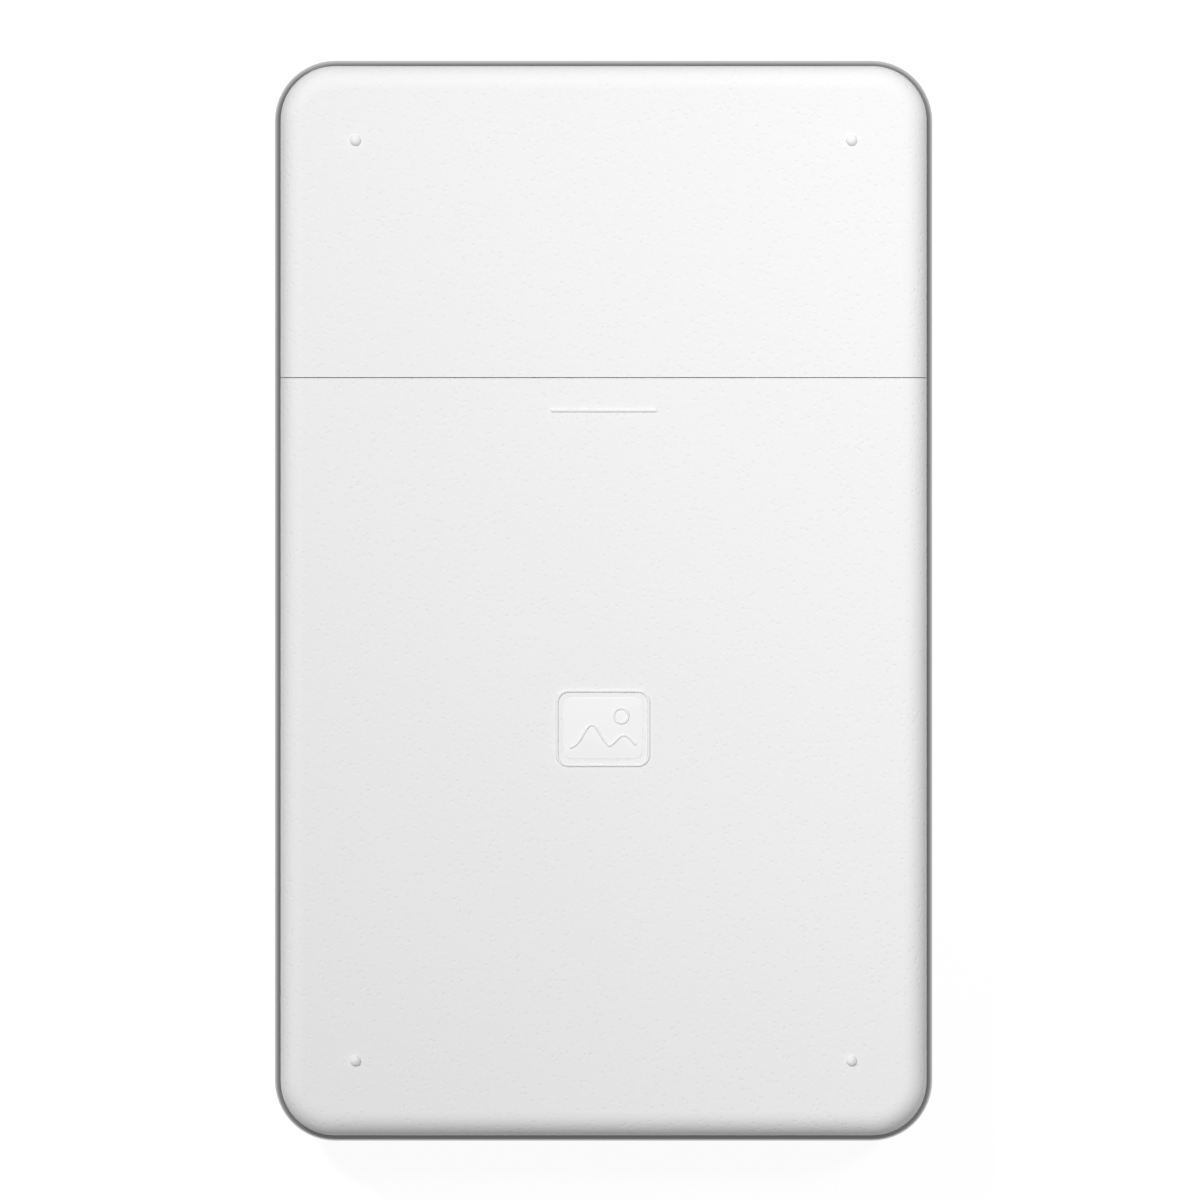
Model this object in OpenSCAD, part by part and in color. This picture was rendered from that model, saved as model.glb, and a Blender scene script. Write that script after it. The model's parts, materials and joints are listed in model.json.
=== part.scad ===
// Pocket photo printer for 50 x 76 mm sheets, lying on its lower face.
// Origin: middle of the lower face. X across, Y along (paper leaves towards +Y), Z up.

/* [Body] */
// Width over the frame band
body_w = 76.2; // [75:0.1:92]
// Length over the frame band
body_l = 125.2; // [124:0.1:152]
// Height from the lower face to the upper face, without the nubs
body_h = 19.5; // [19.4:0.1:24]
// Corner radius of the frame band, seen from above
corner_r = 7; // [6:0.25:9]
// Radius that rounds the outer edges of the shells
edge_r = 2.6; // [2.2:0.1:3.2]
// Wall thickness of the shells
shell_wall = 1.6; // [1.3:0.1:1.9]
// Height of the lower shell
bottom_h = 8; // [7.8:0.1:9.6]
// Height of the frame band
band_h = 4; // [3.6:0.1:4.8]
// How far the frame band stands proud of the shells
band_proud = 0.7; // [0.4:0.1:0.9]
// Width of the shadow groove between the band and each shell
groove_w = 0.12; // [0.1:0.01:0.2]
// Depth of the shadow groove
groove_depth = 0.35; // [0.2:0.05:0.5]
// Gap where two housing parts meet
seam = 0.1; // [0.05:0.05:0.15]
// Thickness of the lips that register the shells on the band
lip_t = 1; // [0.8:0.1:1.2]
// Height of those lips
lip_h = 0.8; // [0.5:0.1:1]

/* [Cover] */
// Length of the sliding cover, from the rear of the band to the split
cover_l = 88.4; // [88:0.05:94]
// Width of the split between cover and panel
split_gap = 0.08; // [0.08:0.01:0.3]
// Radius that rounds both edges of the split
split_edge_r = 0.06; // [0.05:0.01:0.5]
// Length of the grip ridge
grip_l = 12.3; // [8:0.1:20]
// Width of the grip ridge
grip_w = 0.4; // [0.4:0.05:1]
// Height of the grip ridge's rounded back
grip_h = 0.2; // [0.15:0.01:0.2]
// Distance of the grip ridge from the split
grip_set = 3.8; // [3:0.1:8]
// Height of the nubs
nub_h = 0.5; // [0.3:0.05:0.8]
// Diameter of the nubs
nub_d = 1.3; // [1.1:0.1:2]
// Distance of the nubs from the long sides
nub_in_x = 9.4; // [7:0.05:14]
// Distance of the nubs from the short sides
nub_in_y = 9.35; // [7:0.05:14]
// Thickness of the cover's tongues
tongue_t = 1; // [0.8:0.1:1.2]
// Reach of the tongues inside the cover
tongue_reach = 2.5; // [2:0.1:3]
// Running gap between tongue and rail
slide_gap = 0.3; // [0.2:0.05:0.4]

/* [Paper] */
// Width of a sheet
paper_w = 50; // [48:0.5:51]
// Length of a sheet
paper_l = 76; // [70:0.5:77]
// Side gap between sheet and guide
paper_gap = 0.4; // [0.3:0.1:0.8]
// Height of the exit slot
exit_h = 1.6; // [1:0.1:2]

/* [Chassis] */
// Thickness of the tray floor
floor_t = 1.6; // [1.2:0.1:1.8]
// Thickness of the floor beyond the gate
feed_floor_t = 1.2; // [1:0.1:1.3]
// Thickness of the paper guides
guide_t = 1.4; // [1:0.1:1.6]
// Height of the paper guides above the floor
guide_h = 3; // [2.4:0.1:3.2]
// Thickness of the bearing walls
bearing_t = 1.8; // [1.4:0.1:2]
// Thickness of the rail walls and of the rail's flange
rail_t = 1.6; // [1.2:0.1:1.8]
// Thickness of the separation gate
gate_t = 1.6; // [1.2:0.1:2]
// Slot under the gate, for one sheet
gate_slot = 0.4; // [0.3:0.05:0.6]

/* [Rollers] */
// Radius of the platen roller
platen_r = 4; // [3.6:0.1:4.2]
// Radius of the pick tyres
pick_r = 4.1; // [3.7:0.05:4.3]
// Width of one pick tyre
tyre_w = 9; // [6:0.5:12]
// Distance of the pick tyres from the middle
tyre_x = 10; // [8:0.5:14]
// Radius of both roller shafts
shaft_r = 1.5; // [1.2:0.1:1.8]
// Outer radius of the shaft bushes
bush_r = 2.5; // [2.2:0.1:2.9]
// Running gap of every shaft in its bore
run_gap = 0.05; // [0.03:0.01:0.08]
// Gap of a piece that is fixed in its seat
seat_gap = 0.02; // [0.01:0.01:0.04]

/* [Gears] */
// Module of the teeth
gear_m = 0.5; // [0.45:0.01:0.51]
// Face width of a gear
gear_t = 2; // [1.6:0.1:2.1]
// Teeth of the platen gear and the pick gear
roller_teeth = 18; // [17:1:18]
// Teeth of an idler
idler_teeth = 12; // [11:1:13]
// Teeth of the reduction gear's small wheel
small_teeth = 10; // [10:1:11]
// Teeth of the reduction gear's big wheel
big_teeth = 18; // [17:1:18]
// Teeth of the motor pinion
motor_teeth = 9; // [9:1:10]
// Added to every centre distance
mesh_gap = 0.07; // [0.05:0.01:0.1]
// Taken off every tooth's thickness
backlash = 0.05; // [0.03:0.01:0.08]
// Radius of the gear pins
pin_r = 0.8; // [0.6:0.05:0.9]

/* [Motor] */
// Radius of the motor can
motor_r = 4; // [3.4:0.1:4.1]
// Length of the motor can
motor_l = 16; // [12:0.5:20]
// Radius of the motor shaft
motor_shaft_r = 0.5; // [0.4:0.05:0.6]

/* [Print head] */
// Length of the head along the paper
head_l = 10; // [8:0.5:11]
// Thickness of the ceramic bar
bar_t = 0.65; // [0.5:0.05:0.9]
// Thickness of the heat sink's plate
sink_t = 1.3; // [1:0.1:1.6]
// Height of the heat sink's fins
fin_h = 1.6; // [1:0.1:1.7]
// Distance of the springs from the middle
spring_x = 15; // [12:0.5:18]

/* [Battery and board] */
// Width of the battery
battery_w = 44; // [36:1:46]
// Length of the battery
battery_l = 43; // [36:1:44]
// Thickness of the battery
battery_t = 5.4; // [4:0.1:5.6]
// Thickness of the main board
board_t = 0.8; // [0.6:0.1:1]
// Distance of the USB socket behind the platen roller
usb_set = 15.8; // [13:0.1:17.8]
// Distance of the power button from the exit end
button_in_y = 13.75; // [13.75:0.25:15.75]

/* [Hidden] */
$fn = 48;
eps = 0.01;

// Housing
half_w = body_w / 2;
half_l = body_l / 2;
shell_w = body_w - 2 * band_proud;
shell_l = body_l - 2 * band_proud;
shell_r = corner_r - band_proud;
in_w = shell_w - 2 * shell_wall;
in_l = shell_l - 2 * shell_wall;
in_r = shell_r - shell_wall;
in_x = in_w / 2;
rear_in = -in_l / 2;
front_in = in_l / 2;
path_z = bottom_h + band_h; // top of the band, and the level of the paper path
top_h = body_h - path_z - seam;
ceiling_z = body_h - shell_wall;
split_y = -half_l + cover_l;
lip_gap = 0.15; // between a lip and the shell round it
ledge_l = 2; // how far the panel's ledge reaches under the cover
ledge_t = 1;
cover_rib_h = 0.8;
cover_rib_t = 1;
cover_rib_ys = [for (i = [0:2]) rear_in + 10.5 + 12 * i];
shell_white = [0.93, 0.93, 0.93];
band_grey = [0.66, 0.67, 0.68];
frame_black = [0.16, 0.16, 0.17];

// Tray and paper path
guide_x = paper_w / 2 + paper_gap;
wall_x = guide_x + guide_t; // inner face of the bearing walls
outer_wall_x = wall_x + bearing_t;
gate_y = rear_in + paper_l + 0.55;
feed_start_y = gate_y - 11.5; // where the gear room begins
feed_floor_x = outer_wall_x;
tray_end_in = 0.65; // clear of the shells' rounded inner corners
front_end_y = front_in - 0.25;
guide_top_z = path_z + guide_h;
exit_x = guide_x + 1.6;

// Rails and tongues
rail_x = in_x - tongue_reach - slide_gap; // outer face of the rail walls
tongue_z = path_z + 2;
flange_z = tongue_z + tongue_t + slide_gap;
rail_top_z = flange_z + 1.1;
lip_clear_x = rail_x + 0.5; // the upper lip stops here, clear of the chassis and of the paper
flange_x = rail_x + 1.6;
rail_rear_y = -half_l + 4.75;
rail_front_y = split_y - 1.6;
tongue_rear_y = -half_l + 8.75;
tongue_front_y = split_y - 2.1;

// Rollers and gears, in one row at the height of the platen's axis
axis_z = path_z - platen_r;
pick_y = gate_y - 5.5;
big_pitch_r = roller_teeth * gear_m / 2;
idler_pitch_r = idler_teeth * gear_m / 2;
roller_idler = big_pitch_r + idler_pitch_r + mesh_gap;
idler_idler = 2 * idler_pitch_r + mesh_gap;
idler_c_y = pick_y + roller_idler;
idler_b_y = idler_c_y + idler_idler;
idler_a_y = idler_b_y + idler_idler;
platen_y = idler_a_y + roller_idler;
reduction_y = platen_y + (roller_teeth + small_teeth) * gear_m / 2 + mesh_gap;
addendum = 0.9 * gear_m;
dedendum = 1.2 * gear_m;
tip_r = big_pitch_r + addendum;
plane_gap = 0.4;
plane1_x = outer_wall_x + plane_gap; // gears beside the wall
plane2_x = plane1_x + gear_t + plane_gap; // gears of the motor stage
plane2_end_x = plane2_x + gear_t;
roof_z = axis_z + tip_r + 0.35; // underside of the roof over the gears
roof_t = 1.1;
bush_flange_t = 0.5;
bush_flange_r = bush_r + 0.2;
clip_t = 0.4;

// Motor, below the paper path
motor_z = path_z - feed_floor_t - 0.4 - motor_r;
motor_reach = (big_teeth + motor_teeth) * gear_m / 2 + mesh_gap;
motor_drop = axis_z - motor_z;
motor_y = reduction_y + sqrt(motor_reach * motor_reach - motor_drop * motor_drop);
motor_dir = -asin(motor_drop / motor_reach);
motor_face_x = wall_x - 0.2;
motor_rear_x = motor_face_x - motor_l;

// Print head
head_gap = 0.05; // between bar and platen
head_y0 = platen_y - head_l / 2;
head_y1 = head_y0 + head_l;
bar_y0 = head_y0 + 1.5;
bar_y1 = head_y1 - 1.5;
bar_z = path_z + head_gap;
sink_z = bar_z + bar_t;
sink_top_z = sink_z + sink_t;
head_x = guide_x + 0.9;
rod_y = head_y0 - 2.5;
rod_z = path_z + 2;
rod_r = 1;
spring_r = 2.2;
spring_wire_r = 0.25;
spring_turns = 4.5;
spigot_r = 1.5;

// Press flap, hung from the cover
flap_w = 28;
flap_pin_y = pick_y - 26.5;
flap_pin_r = 0.8;
flap_eye_r = 1.3;
flap_pin_z = ceiling_z - flap_eye_r - 0.2;
flap_t = 0.9;
flap_tip_y = gate_y - 3;
pad_t = 0.35;
pad_rest_gap = 0.25; // between the pad and the pick tyres, with no paper
flap_low_z = axis_z + pick_r + pad_rest_gap + pad_t; // underside of the flap at its tip
pad_l = 5;
ear_t = 2;
leaf_t = 0.3;
leaf_w = 8;

// Screws: one row behind each bearing wall
boss_r = 2.3;
boss_gap = 0.4; // between a front boss and the shell's end wall
screw_x = wall_x + boss_r;
screw_rear_y = rear_in + 5.55;
screw_mid_y = feed_start_y - 9.5;
screw_front_y = front_in - boss_r - boss_gap;
screw_ys = [screw_rear_y, screw_mid_y, screw_front_y];
screw_r = 0.95;
screw_head_r = 1.8;
screw_head_h = 1.2;
lug_h = 1.2;
boss_rib_t = 1.2;
pad_gap = 0.1;

// Board
button_y = half_l - button_in_y;
board_z = shell_wall + 1.2;
board_top_z = board_z + board_t;
solder_z = board_top_z + 0.02; // underside of what is soldered on the board
board_x0 = -in_x + 1.4;
board_x1 = outer_wall_x - 1.6;
board_y0 = pick_y + pick_r;
board_y1 = platen_y - platen_r - 0.8;
strip_x1 = -outer_wall_x - 0.6;
strip_y0 = pick_y - 10.5;
strip_y1 = button_y + 4;
post_r = 1.5;
post_pin_r = 0.7;
board_posts = [
    [board_x0 + 2.6, strip_y0 + 2.5],
    [board_x1 - 2.5, board_y1 - 1.8],
    [board_x0 + 15, board_y1 - 1.8],
];
usb_w = 7.5;
usb_h = 2.6;
usb_l = 5.6;
usb_y = platen_y - usb_set;
flex_y = platen_y - 0.8;
flex_w = 6;
flex_t = 0.2;
flex_x = -outer_wall_x - 1.7;
led_y = button_y - 7.5;
reset_y = usb_y - 8;
side_z = board_top_z + 1.4; // height of the button and of the light guide

// Battery
battery_y0 = -half_l + 5.75;
battery_y1 = battery_y0 + battery_l;
battery_z = shell_wall + 0.3;

// Paper flag
flag_y = idler_b_y + 1;
flag_x = -12;
flag_z = path_z - feed_floor_t - 1.8;
flag_tip = 1;
flag_t = 1.2;
flag_pin_r = 0.6;
flag_hub_r = 1.25;

// ---------------------------------------------------------------- shapes used more than once

// Both sides of the printer
module both_sides() {
    children();
    mirror([1, 0, 0]) children();
}

// A box from its lowest to its highest corner
module block(low, high) {
    translate(low) cube(high - low);
}

// A block with rounded corners (r, seen from above) and a rounded upper edge (f)
module pillow(w, l, r, h, f) {
    side_x = w / 2 - r;
    side_y = l / 2 - r;
    module edge_profile() {
        square([r, h - f]);
        square([r - f, h]);
        translate([r - f, h - f]) intersection() {
            circle(f);
            square(f);
        }
    }
    module long_side(length) {
        rotate([90, 0, 0]) translate([0, 0, -length]) linear_extrude(2 * length) edge_profile();
    }
    block([-side_x, -side_y, 0], [side_x, side_y, h]);
    for (turn = [0, 180]) rotate(turn) translate([side_x, 0, 0]) long_side(side_y);
    for (turn = [90, 270]) rotate(turn) translate([side_y, 0, 0]) long_side(side_x);
    translate([side_x, side_y, 0]) rotate_extrude(angle = 90) edge_profile();
    translate([-side_x, side_y, 0]) rotate(90) rotate_extrude(angle = 90) edge_profile();
    translate([-side_x, -side_y, 0]) rotate(180) rotate_extrude(angle = 90) edge_profile();
    translate([side_x, -side_y, 0]) rotate(270) rotate_extrude(angle = 90) edge_profile();
}

// A flat plate with rounded corners
module rounded_plate(w, l, r, h) {
    block([-w / 2 + r, -l / 2, 0], [w / 2 - r, l / 2, h]);
    block([-w / 2, -l / 2 + r, 0], [w / 2, l / 2 - r, h]);
    for (x = [-1, 1], y = [-1, 1]) translate([x * (w / 2 - r), y * (l / 2 - r), 0]) cylinder(h, r = r);
}

// A rod along X, between two X positions
module rod_x(x0, x1, y, z, r) {
    translate([x0, y, z]) rotate([0, 90, 0]) cylinder(x1 - x0, r = r);
}

// A profile drawn with Y to the right and Z up, as thick as the X range
module slab_x(x0, x1) {
    translate([x0, 0, 0]) rotate([90, 0, 90]) linear_extrude(x1 - x0) children();
}

// A profile drawn with X to the right and Z up, as thick as the Y range
module slab_y(y0, y1) {
    translate([0, y1, 0]) rotate([90, 0, 0]) linear_extrude(y1 - y0) children();
}

// A closed round tube along a path; up must not lie along any stretch of it
function unit(v) = v / norm(v);
module tube(path, r, up, sides = 8) {
    n = len(path);
    rings = [
        for (i = [0:n - 1])
            let (
                along = unit(path[min(i + 1, n - 1)] - path[max(i - 1, 0)]),
                side = unit(cross(up, along)),
                out = cross(along, side)
            )
            for (k = [0:sides - 1])
                path[i] + r * (cos(360 * k / sides) * side + sin(360 * k / sides) * out)
    ];
    walls = [
        for (i = [0:n - 2], k = [0:sides - 1])
            let (a = i * sides + k, b = i * sides + (k + 1) % sides)
            each [[a, a + sides, b + sides], [a, b + sides, b]]
    ];
    start_cap = [[for (k = [0:sides - 1]) k]];
    end_cap = [[for (k = [sides - 1:-1:0]) (n - 1) * sides + k]];
    polyhedron(rings, concat(start_cap, walls, end_cap));
}

// A coil spring's centre line, climbing along Z
function coil_path(r, rise, turns, steps) = [
    for (i = [0:steps * turns]) [r * cos(360 * i / steps), r * sin(360 * i / steps), rise * i / (steps * turns)]
];

// ---------------------------------------------------------------- gear teeth

pressure = 20;
function base_r(teeth) = teeth * gear_m / 2 * cos(pressure);
function involute(angle) = tan(angle) * 180 / PI - angle;
function wheel_tip_r(teeth) = teeth * gear_m / 2 + addendum;
function wheel_root_r(teeth) = teeth * gear_m / 2 - dedendum;

// Half of a tooth's angle at radius r; below the base circle the flank is drawn in
function half_tooth(teeth, r) =
    let (
        thin = backlash / (teeth * gear_m) * 180 / PI,
        at_base = 90 / teeth - thin + involute(pressure)
    )
    r > base_r(teeth)
        ? at_base - involute(acos(base_r(teeth) / r))
        : at_base - (base_r(teeth) - r) * 7;

// Radii of a flank's points, from root to tip
function flank_radii(teeth) =
    let (
        root = wheel_root_r(teeth),
        tip = wheel_tip_r(teeth),
        start = max(base_r(teeth), root + 0.05)
    )
    [root, start, start + (tip - start) * 0.35, start + (tip - start) * 0.7, tip];

function wheel_outline(teeth, phase) = [
    for (i = [0:teeth - 1])
        let (middle = phase + i * 360 / teeth, radii = flank_radii(teeth))
        for (side = [-1, 1], k = [0:len(radii) - 1])
            let (
                r = side < 0 ? radii[k] : radii[len(radii) - 1 - k],
                a = middle + side * half_tooth(teeth, r)
            )
            [r * cos(a), r * sin(a)]
];

// Phase of a wheel that meshes with another: direction is that from the first wheel to the second
function meshed(phase, teeth, next_teeth, direction) =
    direction + 180 + 180 / next_teeth - (phase - direction) * teeth / next_teeth;

platen_phase = 0;
idler_a_phase = meshed(platen_phase, roller_teeth, idler_teeth, 180);
idler_b_phase = meshed(idler_a_phase, idler_teeth, idler_teeth, 180);
idler_c_phase = meshed(idler_b_phase, idler_teeth, idler_teeth, 180);
pick_phase = meshed(idler_c_phase, idler_teeth, roller_teeth, 180);
small_phase = meshed(platen_phase, roller_teeth, small_teeth, 0);
big_phase = 0;
motor_phase = meshed(big_phase, big_teeth, motor_teeth, motor_dir);

// A wheel on an axis along X, from x0 on, drawn in the YZ plane
module wheel(teeth, phase, x0, y, z) {
    translate([0, y, z]) slab_x(x0, x0 + gear_t) polygon(wheel_outline(teeth, phase));
}

// ---------------------------------------------------------------- housing

// Outer form, walls and top of the two upper housing parts, before they are split
module upper_shell() {
    translate([0, 0, path_z + seam]) difference() {
        pillow(shell_w, shell_l, shell_r, top_h, edge_r);
        translate([0, 0, -eps]) pillow(in_w, in_l, in_r, top_h - shell_wall + eps, edge_r - shell_wall);
    }
}

// What lies on one side of the split (direction is 1 before it and -1 behind it), its edge there rounded
module split_half(direction) {
    trim_gap = 0.005; // the trimming form stays this far outside the shell, except at the rounded edge
    trim_h = 2 * (top_h + trim_gap);
    intersection() {
        upper_shell();
        translate([0, split_y + direction * (split_gap / 2 + body_l), body_h + trim_gap - trim_h / 2])
            rotate([direction * 90, 0, 0])
                pillow(shell_w + 2 * trim_gap, trim_h, edge_r + trim_gap, body_l, split_edge_r);
    }
}

// Radius of a dome that is w wide at its foot and h high
function dome_r(w, h) = (w * w / 4 + h * h) / (2 * h);

// A dome on the face, with its foot sunk in
foot_sink = 0.2;
module nub(x, y) {
    r = dome_r(nub_d, nub_h);
    translate([x, y, body_h]) intersection() {
        translate([0, 0, nub_h - r]) sphere(r);
        translate([0, 0, -foot_sink]) cylinder(nub_h + foot_sink, d = nub_d);
    }
}

module bottom_shell() {
    color(shell_white) difference() {
        union() {
            translate([0, 0, bottom_h - seam]) mirror([0, 0, 1]) difference() {
                pillow(shell_w, shell_l, shell_r, bottom_h - seam, edge_r);
                translate([0, 0, -eps])
                    pillow(in_w, in_l, in_r, bottom_h - seam - shell_wall + eps, edge_r - shell_wall);
            }
            both_sides() for (y = screw_ys) translate([screw_x, y, shell_wall - 0.2])
                cylinder(bottom_h - shell_wall + 0.1, r = boss_r);
            // A rib ties each front boss to the end wall
            both_sides() block([screw_x - boss_rib_t / 2, screw_front_y + screw_r + 0.2, shell_wall - 0.2],
                [screw_x + boss_rib_t / 2, front_in + 0.2, bottom_h - lip_h - lip_gap]);
            battery_fences();
            for (p = board_posts) translate([p[0], p[1], shell_wall - 0.2]) {
                cylinder(board_z - shell_wall + 0.2, r = post_r);
                cylinder(board_top_z - shell_wall + 0.5, r = post_pin_r);
            }
            motor_saddles();
        }
        both_sides() for (y = screw_ys) translate([screw_x, y, 3]) cylinder(bottom_h, r = screw_r + 0.03);
        usb_opening();
        button_opening();
        rod_x(-half_w, -in_x + 0.5, led_y, side_z, guide_rod_r + seat_gap);
        rod_x(-half_w, -in_x + 0.5, reset_y, side_z, 0.4);
    }
}

fence_t = 1;
fence_h = 3;
fence_l = 9;
module battery_fences() {
    fence_x = battery_w / 2 + 0.3;
    both_sides() for (y = [battery_y0 + 4, battery_y1 - 4 - fence_l])
        block([fence_x, y, shell_wall - 0.2], [fence_x + fence_t, y + fence_l, shell_wall + fence_h]);
    both_sides() block(
        [fence_x - fence_l - 3, battery_y0 - 0.3 - fence_t, shell_wall - 0.2],
        [fence_x - 3, battery_y0 - 0.3, shell_wall + fence_h]
    );
}

module motor_saddles() {
    for (x = [motor_rear_x + 2.5, motor_face_x - 4]) difference() {
        block([x, motor_y - 4.6, shell_wall - 0.2], [x + 1.4, motor_y + 4.6, motor_z - 1]);
        rod_x(x - 1, x + 3, motor_y, motor_z, motor_r + 0.1);
    }
}

usb_gap = 0.4;
module usb_opening() {
    block(
        [-half_w, usb_y - usb_w / 2 - usb_gap, board_top_z - usb_gap / 2],
        [-in_x + 0.5, usb_y + usb_w / 2 + usb_gap, board_top_z + usb_h + usb_gap / 2]
    );
}

button_w = 9;
button_h = 2.6;
button_gap = 0.15;
module button_opening() {
    oblong_x(-half_w, -in_x + 0.5, button_y, side_z, button_w + 2 * button_gap, button_h + 2 * button_gap);
}

// An oblong bar along X with round ends
module oblong_x(x0, x1, y, z, w, h) {
    block([x0, y - w / 2 + h / 2, z - h / 2], [x1, y + w / 2 - h / 2, z + h / 2]);
    rod_x(x0, x1, y - w / 2 + h / 2, z, h / 2);
    rod_x(x0, x1, y + w / 2 - h / 2, z, h / 2);
}

band_edge_r = 0.6;
module frame_band() {
    half_h = band_h / 2;
    color(band_grey) difference() {
        union() {
            difference() {
                translate([0, 0, bottom_h + half_h]) {
                    pillow(body_w, body_l, corner_r, half_h, band_edge_r);
                    mirror([0, 0, 1]) pillow(body_w, body_l, corner_r, half_h, band_edge_r);
                }
                translate([0, 0, bottom_h - 1]) rounded_plate(in_w, in_l, in_r, band_h + 2);
            }
            lips();
            both_sides() for (y = screw_ys) translate([0, 0, bottom_h]) lug(y);
        }
        both_sides() for (y = screw_ys) translate([screw_x, y, bottom_h - 1])
            cylinder(band_h, r = screw_r + 0.2);
        shadow_grooves();
    }
}

// A lug reaches from the band to one screw
module lug(y) {
    lug_r = boss_r + 0.1;
    intersection() {
        union() {
            translate([screw_x, y, 0]) cylinder(lug_h, r = lug_r);
            block([screw_x, y - lug_r, 0], [half_w, y + lug_r, lug_h]);
        }
        translate([0, 0, -1])
            rounded_plate(in_w + shell_wall, in_l + shell_wall, in_r + shell_wall / 2, lug_h + 2);
    }
}

// Register rings inside the shells, open where the paper passes, at the panel's catches and at the
// front bosses
lip_root = 1.4; // height of a lip's foot inside the band
notch_gap = 0.3; // between a front boss and the ends of the lip beside it
module lips() {
    lip_w = in_w - 2 * lip_gap;
    lip_l = in_l - 2 * lip_gap;
    lip_r = in_r - lip_gap;
    root = 0.5;
    difference() {
        for (z = [bottom_h - lip_h, path_z - lip_root]) {
            translate([0, 0, z]) rounded_plate(lip_w, lip_l, lip_r, lip_root + lip_h);
            translate([0, 0, max(z, bottom_h + root)])
                rounded_plate(in_w + root, in_l + root, in_r, lip_root - root);
        }
        translate([0, 0, bottom_h - 2])
            rounded_plate(lip_w - 2 * lip_t, lip_l - 2 * lip_t, lip_r - lip_t, band_h + 4);
        block([-lip_clear_x, -half_l, path_z - lip_root - 0.1], [lip_clear_x, half_l, path_z + 2]);
        both_sides() for (y = catch_ys)
            block([in_x - 2, y - catch_w / 2 - 0.3, path_z], [in_x, y + catch_w / 2 + 0.3, path_z + 2]);
        both_sides() block([screw_x - boss_r - notch_gap, screw_front_y, bottom_h - lip_h - 0.1],
            [screw_x + boss_r + notch_gap, front_in, path_z]);
    }
}

// Narrow dark grooves in the band, just outside the upper and the lower shell
module shadow_grooves() {
    difference() {
        for (z = [bottom_h - 1, path_z - groove_depth]) translate([0, 0, z])
            rounded_plate(shell_w + 2 * groove_w, shell_l + 2 * groove_w, shell_r + groove_w, groove_depth + 1);
        translate([0, 0, bottom_h - 2]) rounded_plate(shell_w, shell_l, shell_r, band_h + 4);
    }
}

catch_w = 5;
catch_ys = [split_y + 10, front_in - 12];
module panel_catches() {
    both_sides() for (y = catch_ys)
        block([in_x - 0.9, y - catch_w / 2, path_z + seam], [in_x + 0.3, y + catch_w / 2, path_z + 1.6]);
}

module top_panel() {
    split_face_y = split_y + split_gap / 2;
    color(shell_white) difference() {
        union() {
            split_half(1);
            both_sides() nub(half_w - nub_in_x, half_l - nub_in_y);
            block([-feed_floor_x, split_face_y - ledge_l, ceiling_z - ledge_t - 0.15],
                [feed_floor_x, split_face_y + 0.6, ceiling_z - 0.15]);
            block([-feed_floor_x, split_face_y, ceiling_z - ledge_t - 0.15],
                [feed_floor_x, split_face_y + 0.6, ceiling_z + 0.2]);
            panel_catches();
            both_sides() block([wall_x + 0.1, max(rod_y - rod_r, split_face_y), guide_top_z + 0.1],
                [outer_wall_x - 0.1, screw_front_y - 4, ceiling_z + 0.2]);
            both_sides() translate([spring_x, platen_y, ceiling_z - 1.3]) cylinder(1.5, r = spigot_r);
            for (y = [platen_y + 9, platen_y + 15])
                block([-guide_x, y, ceiling_z - 1.2], [guide_x, y + cover_rib_t, ceiling_z + 0.2]);
        }
        block([-exit_x, front_in - 0.5, path_z], [exit_x, half_l, path_z + exit_h]);
        block([-in_x, flex_y - flex_w / 2 - 0.5, guide_top_z],
            [-wall_x + 0.5, flex_y + flex_w / 2 + 0.5, guide_top_z + 1]);
    }
}

module paper_cover() {
    color(shell_white) difference() {
        union() {
            split_half(-1);
            both_sides() nub(half_w - nub_in_x, -half_l + nub_in_y);
            grip_ridge(split_y - grip_set);
            both_sides() tongue();
            for (y = cover_rib_ys)
                block([-guide_x + 1, y, ceiling_z - cover_rib_h],
                    [guide_x - 1, y + cover_rib_t, ceiling_z + 0.2]);
            both_sides() flap_ear();
            leaf_mount();
        }
        rod_x(-flap_w, flap_w, flap_pin_y, flap_pin_z, flap_pin_r + seat_gap);
    }
}

// A thin ridge with a rounded back and round ends
module grip_ridge(y) {
    straight = (grip_l - grip_w) / 2;
    r = dome_r(grip_w, grip_h);
    translate([0, y, body_h]) {
        intersection() {
            rod_x(-straight, straight, 0, grip_h - r, r);
            block([-straight, -grip_w / 2, -foot_sink], [straight, grip_w / 2, grip_h]);
        }
        for (x = [-straight, straight]) translate([x, 0, 0]) intersection() {
            translate([0, 0, grip_h - r]) sphere(r);
            translate([0, 0, -foot_sink]) cylinder(grip_h + foot_sink, d = grip_w);
        }
    }
}

// A tongue runs inside the side wall, tapered at its leading end to find the rail
module tongue() {
    translate([0, 0, tongue_z]) linear_extrude(tongue_t) polygon([
        [in_x + 0.4, tongue_rear_y],
        [in_x - tongue_reach, tongue_rear_y],
        [in_x - tongue_reach, tongue_front_y - 3],
        [in_x - tongue_reach + 0.8, tongue_front_y],
        [in_x + 0.4, tongue_front_y],
    ]);
}

module flap_ear() {
    ear_x = flap_w / 2 + 0.3;
    slab_x(ear_x, ear_x + ear_t) {
        translate([flap_pin_y, flap_pin_z]) circle(flap_eye_r);
        translate([flap_pin_y - flap_eye_r, flap_pin_z]) square([2 * flap_eye_r, ceiling_z + 0.2 - flap_pin_z]);
    }
}

// Two posts that the leaf spring is staked to
leaf_y = pick_y - 16;
module leaf_mount() {
    both_sides() translate([leaf_w / 4, leaf_y, ceiling_z - leaf_t - 0.4]) cylinder(leaf_t + 0.6, r = 0.6);
}

// ---------------------------------------------------------------- chassis

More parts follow.
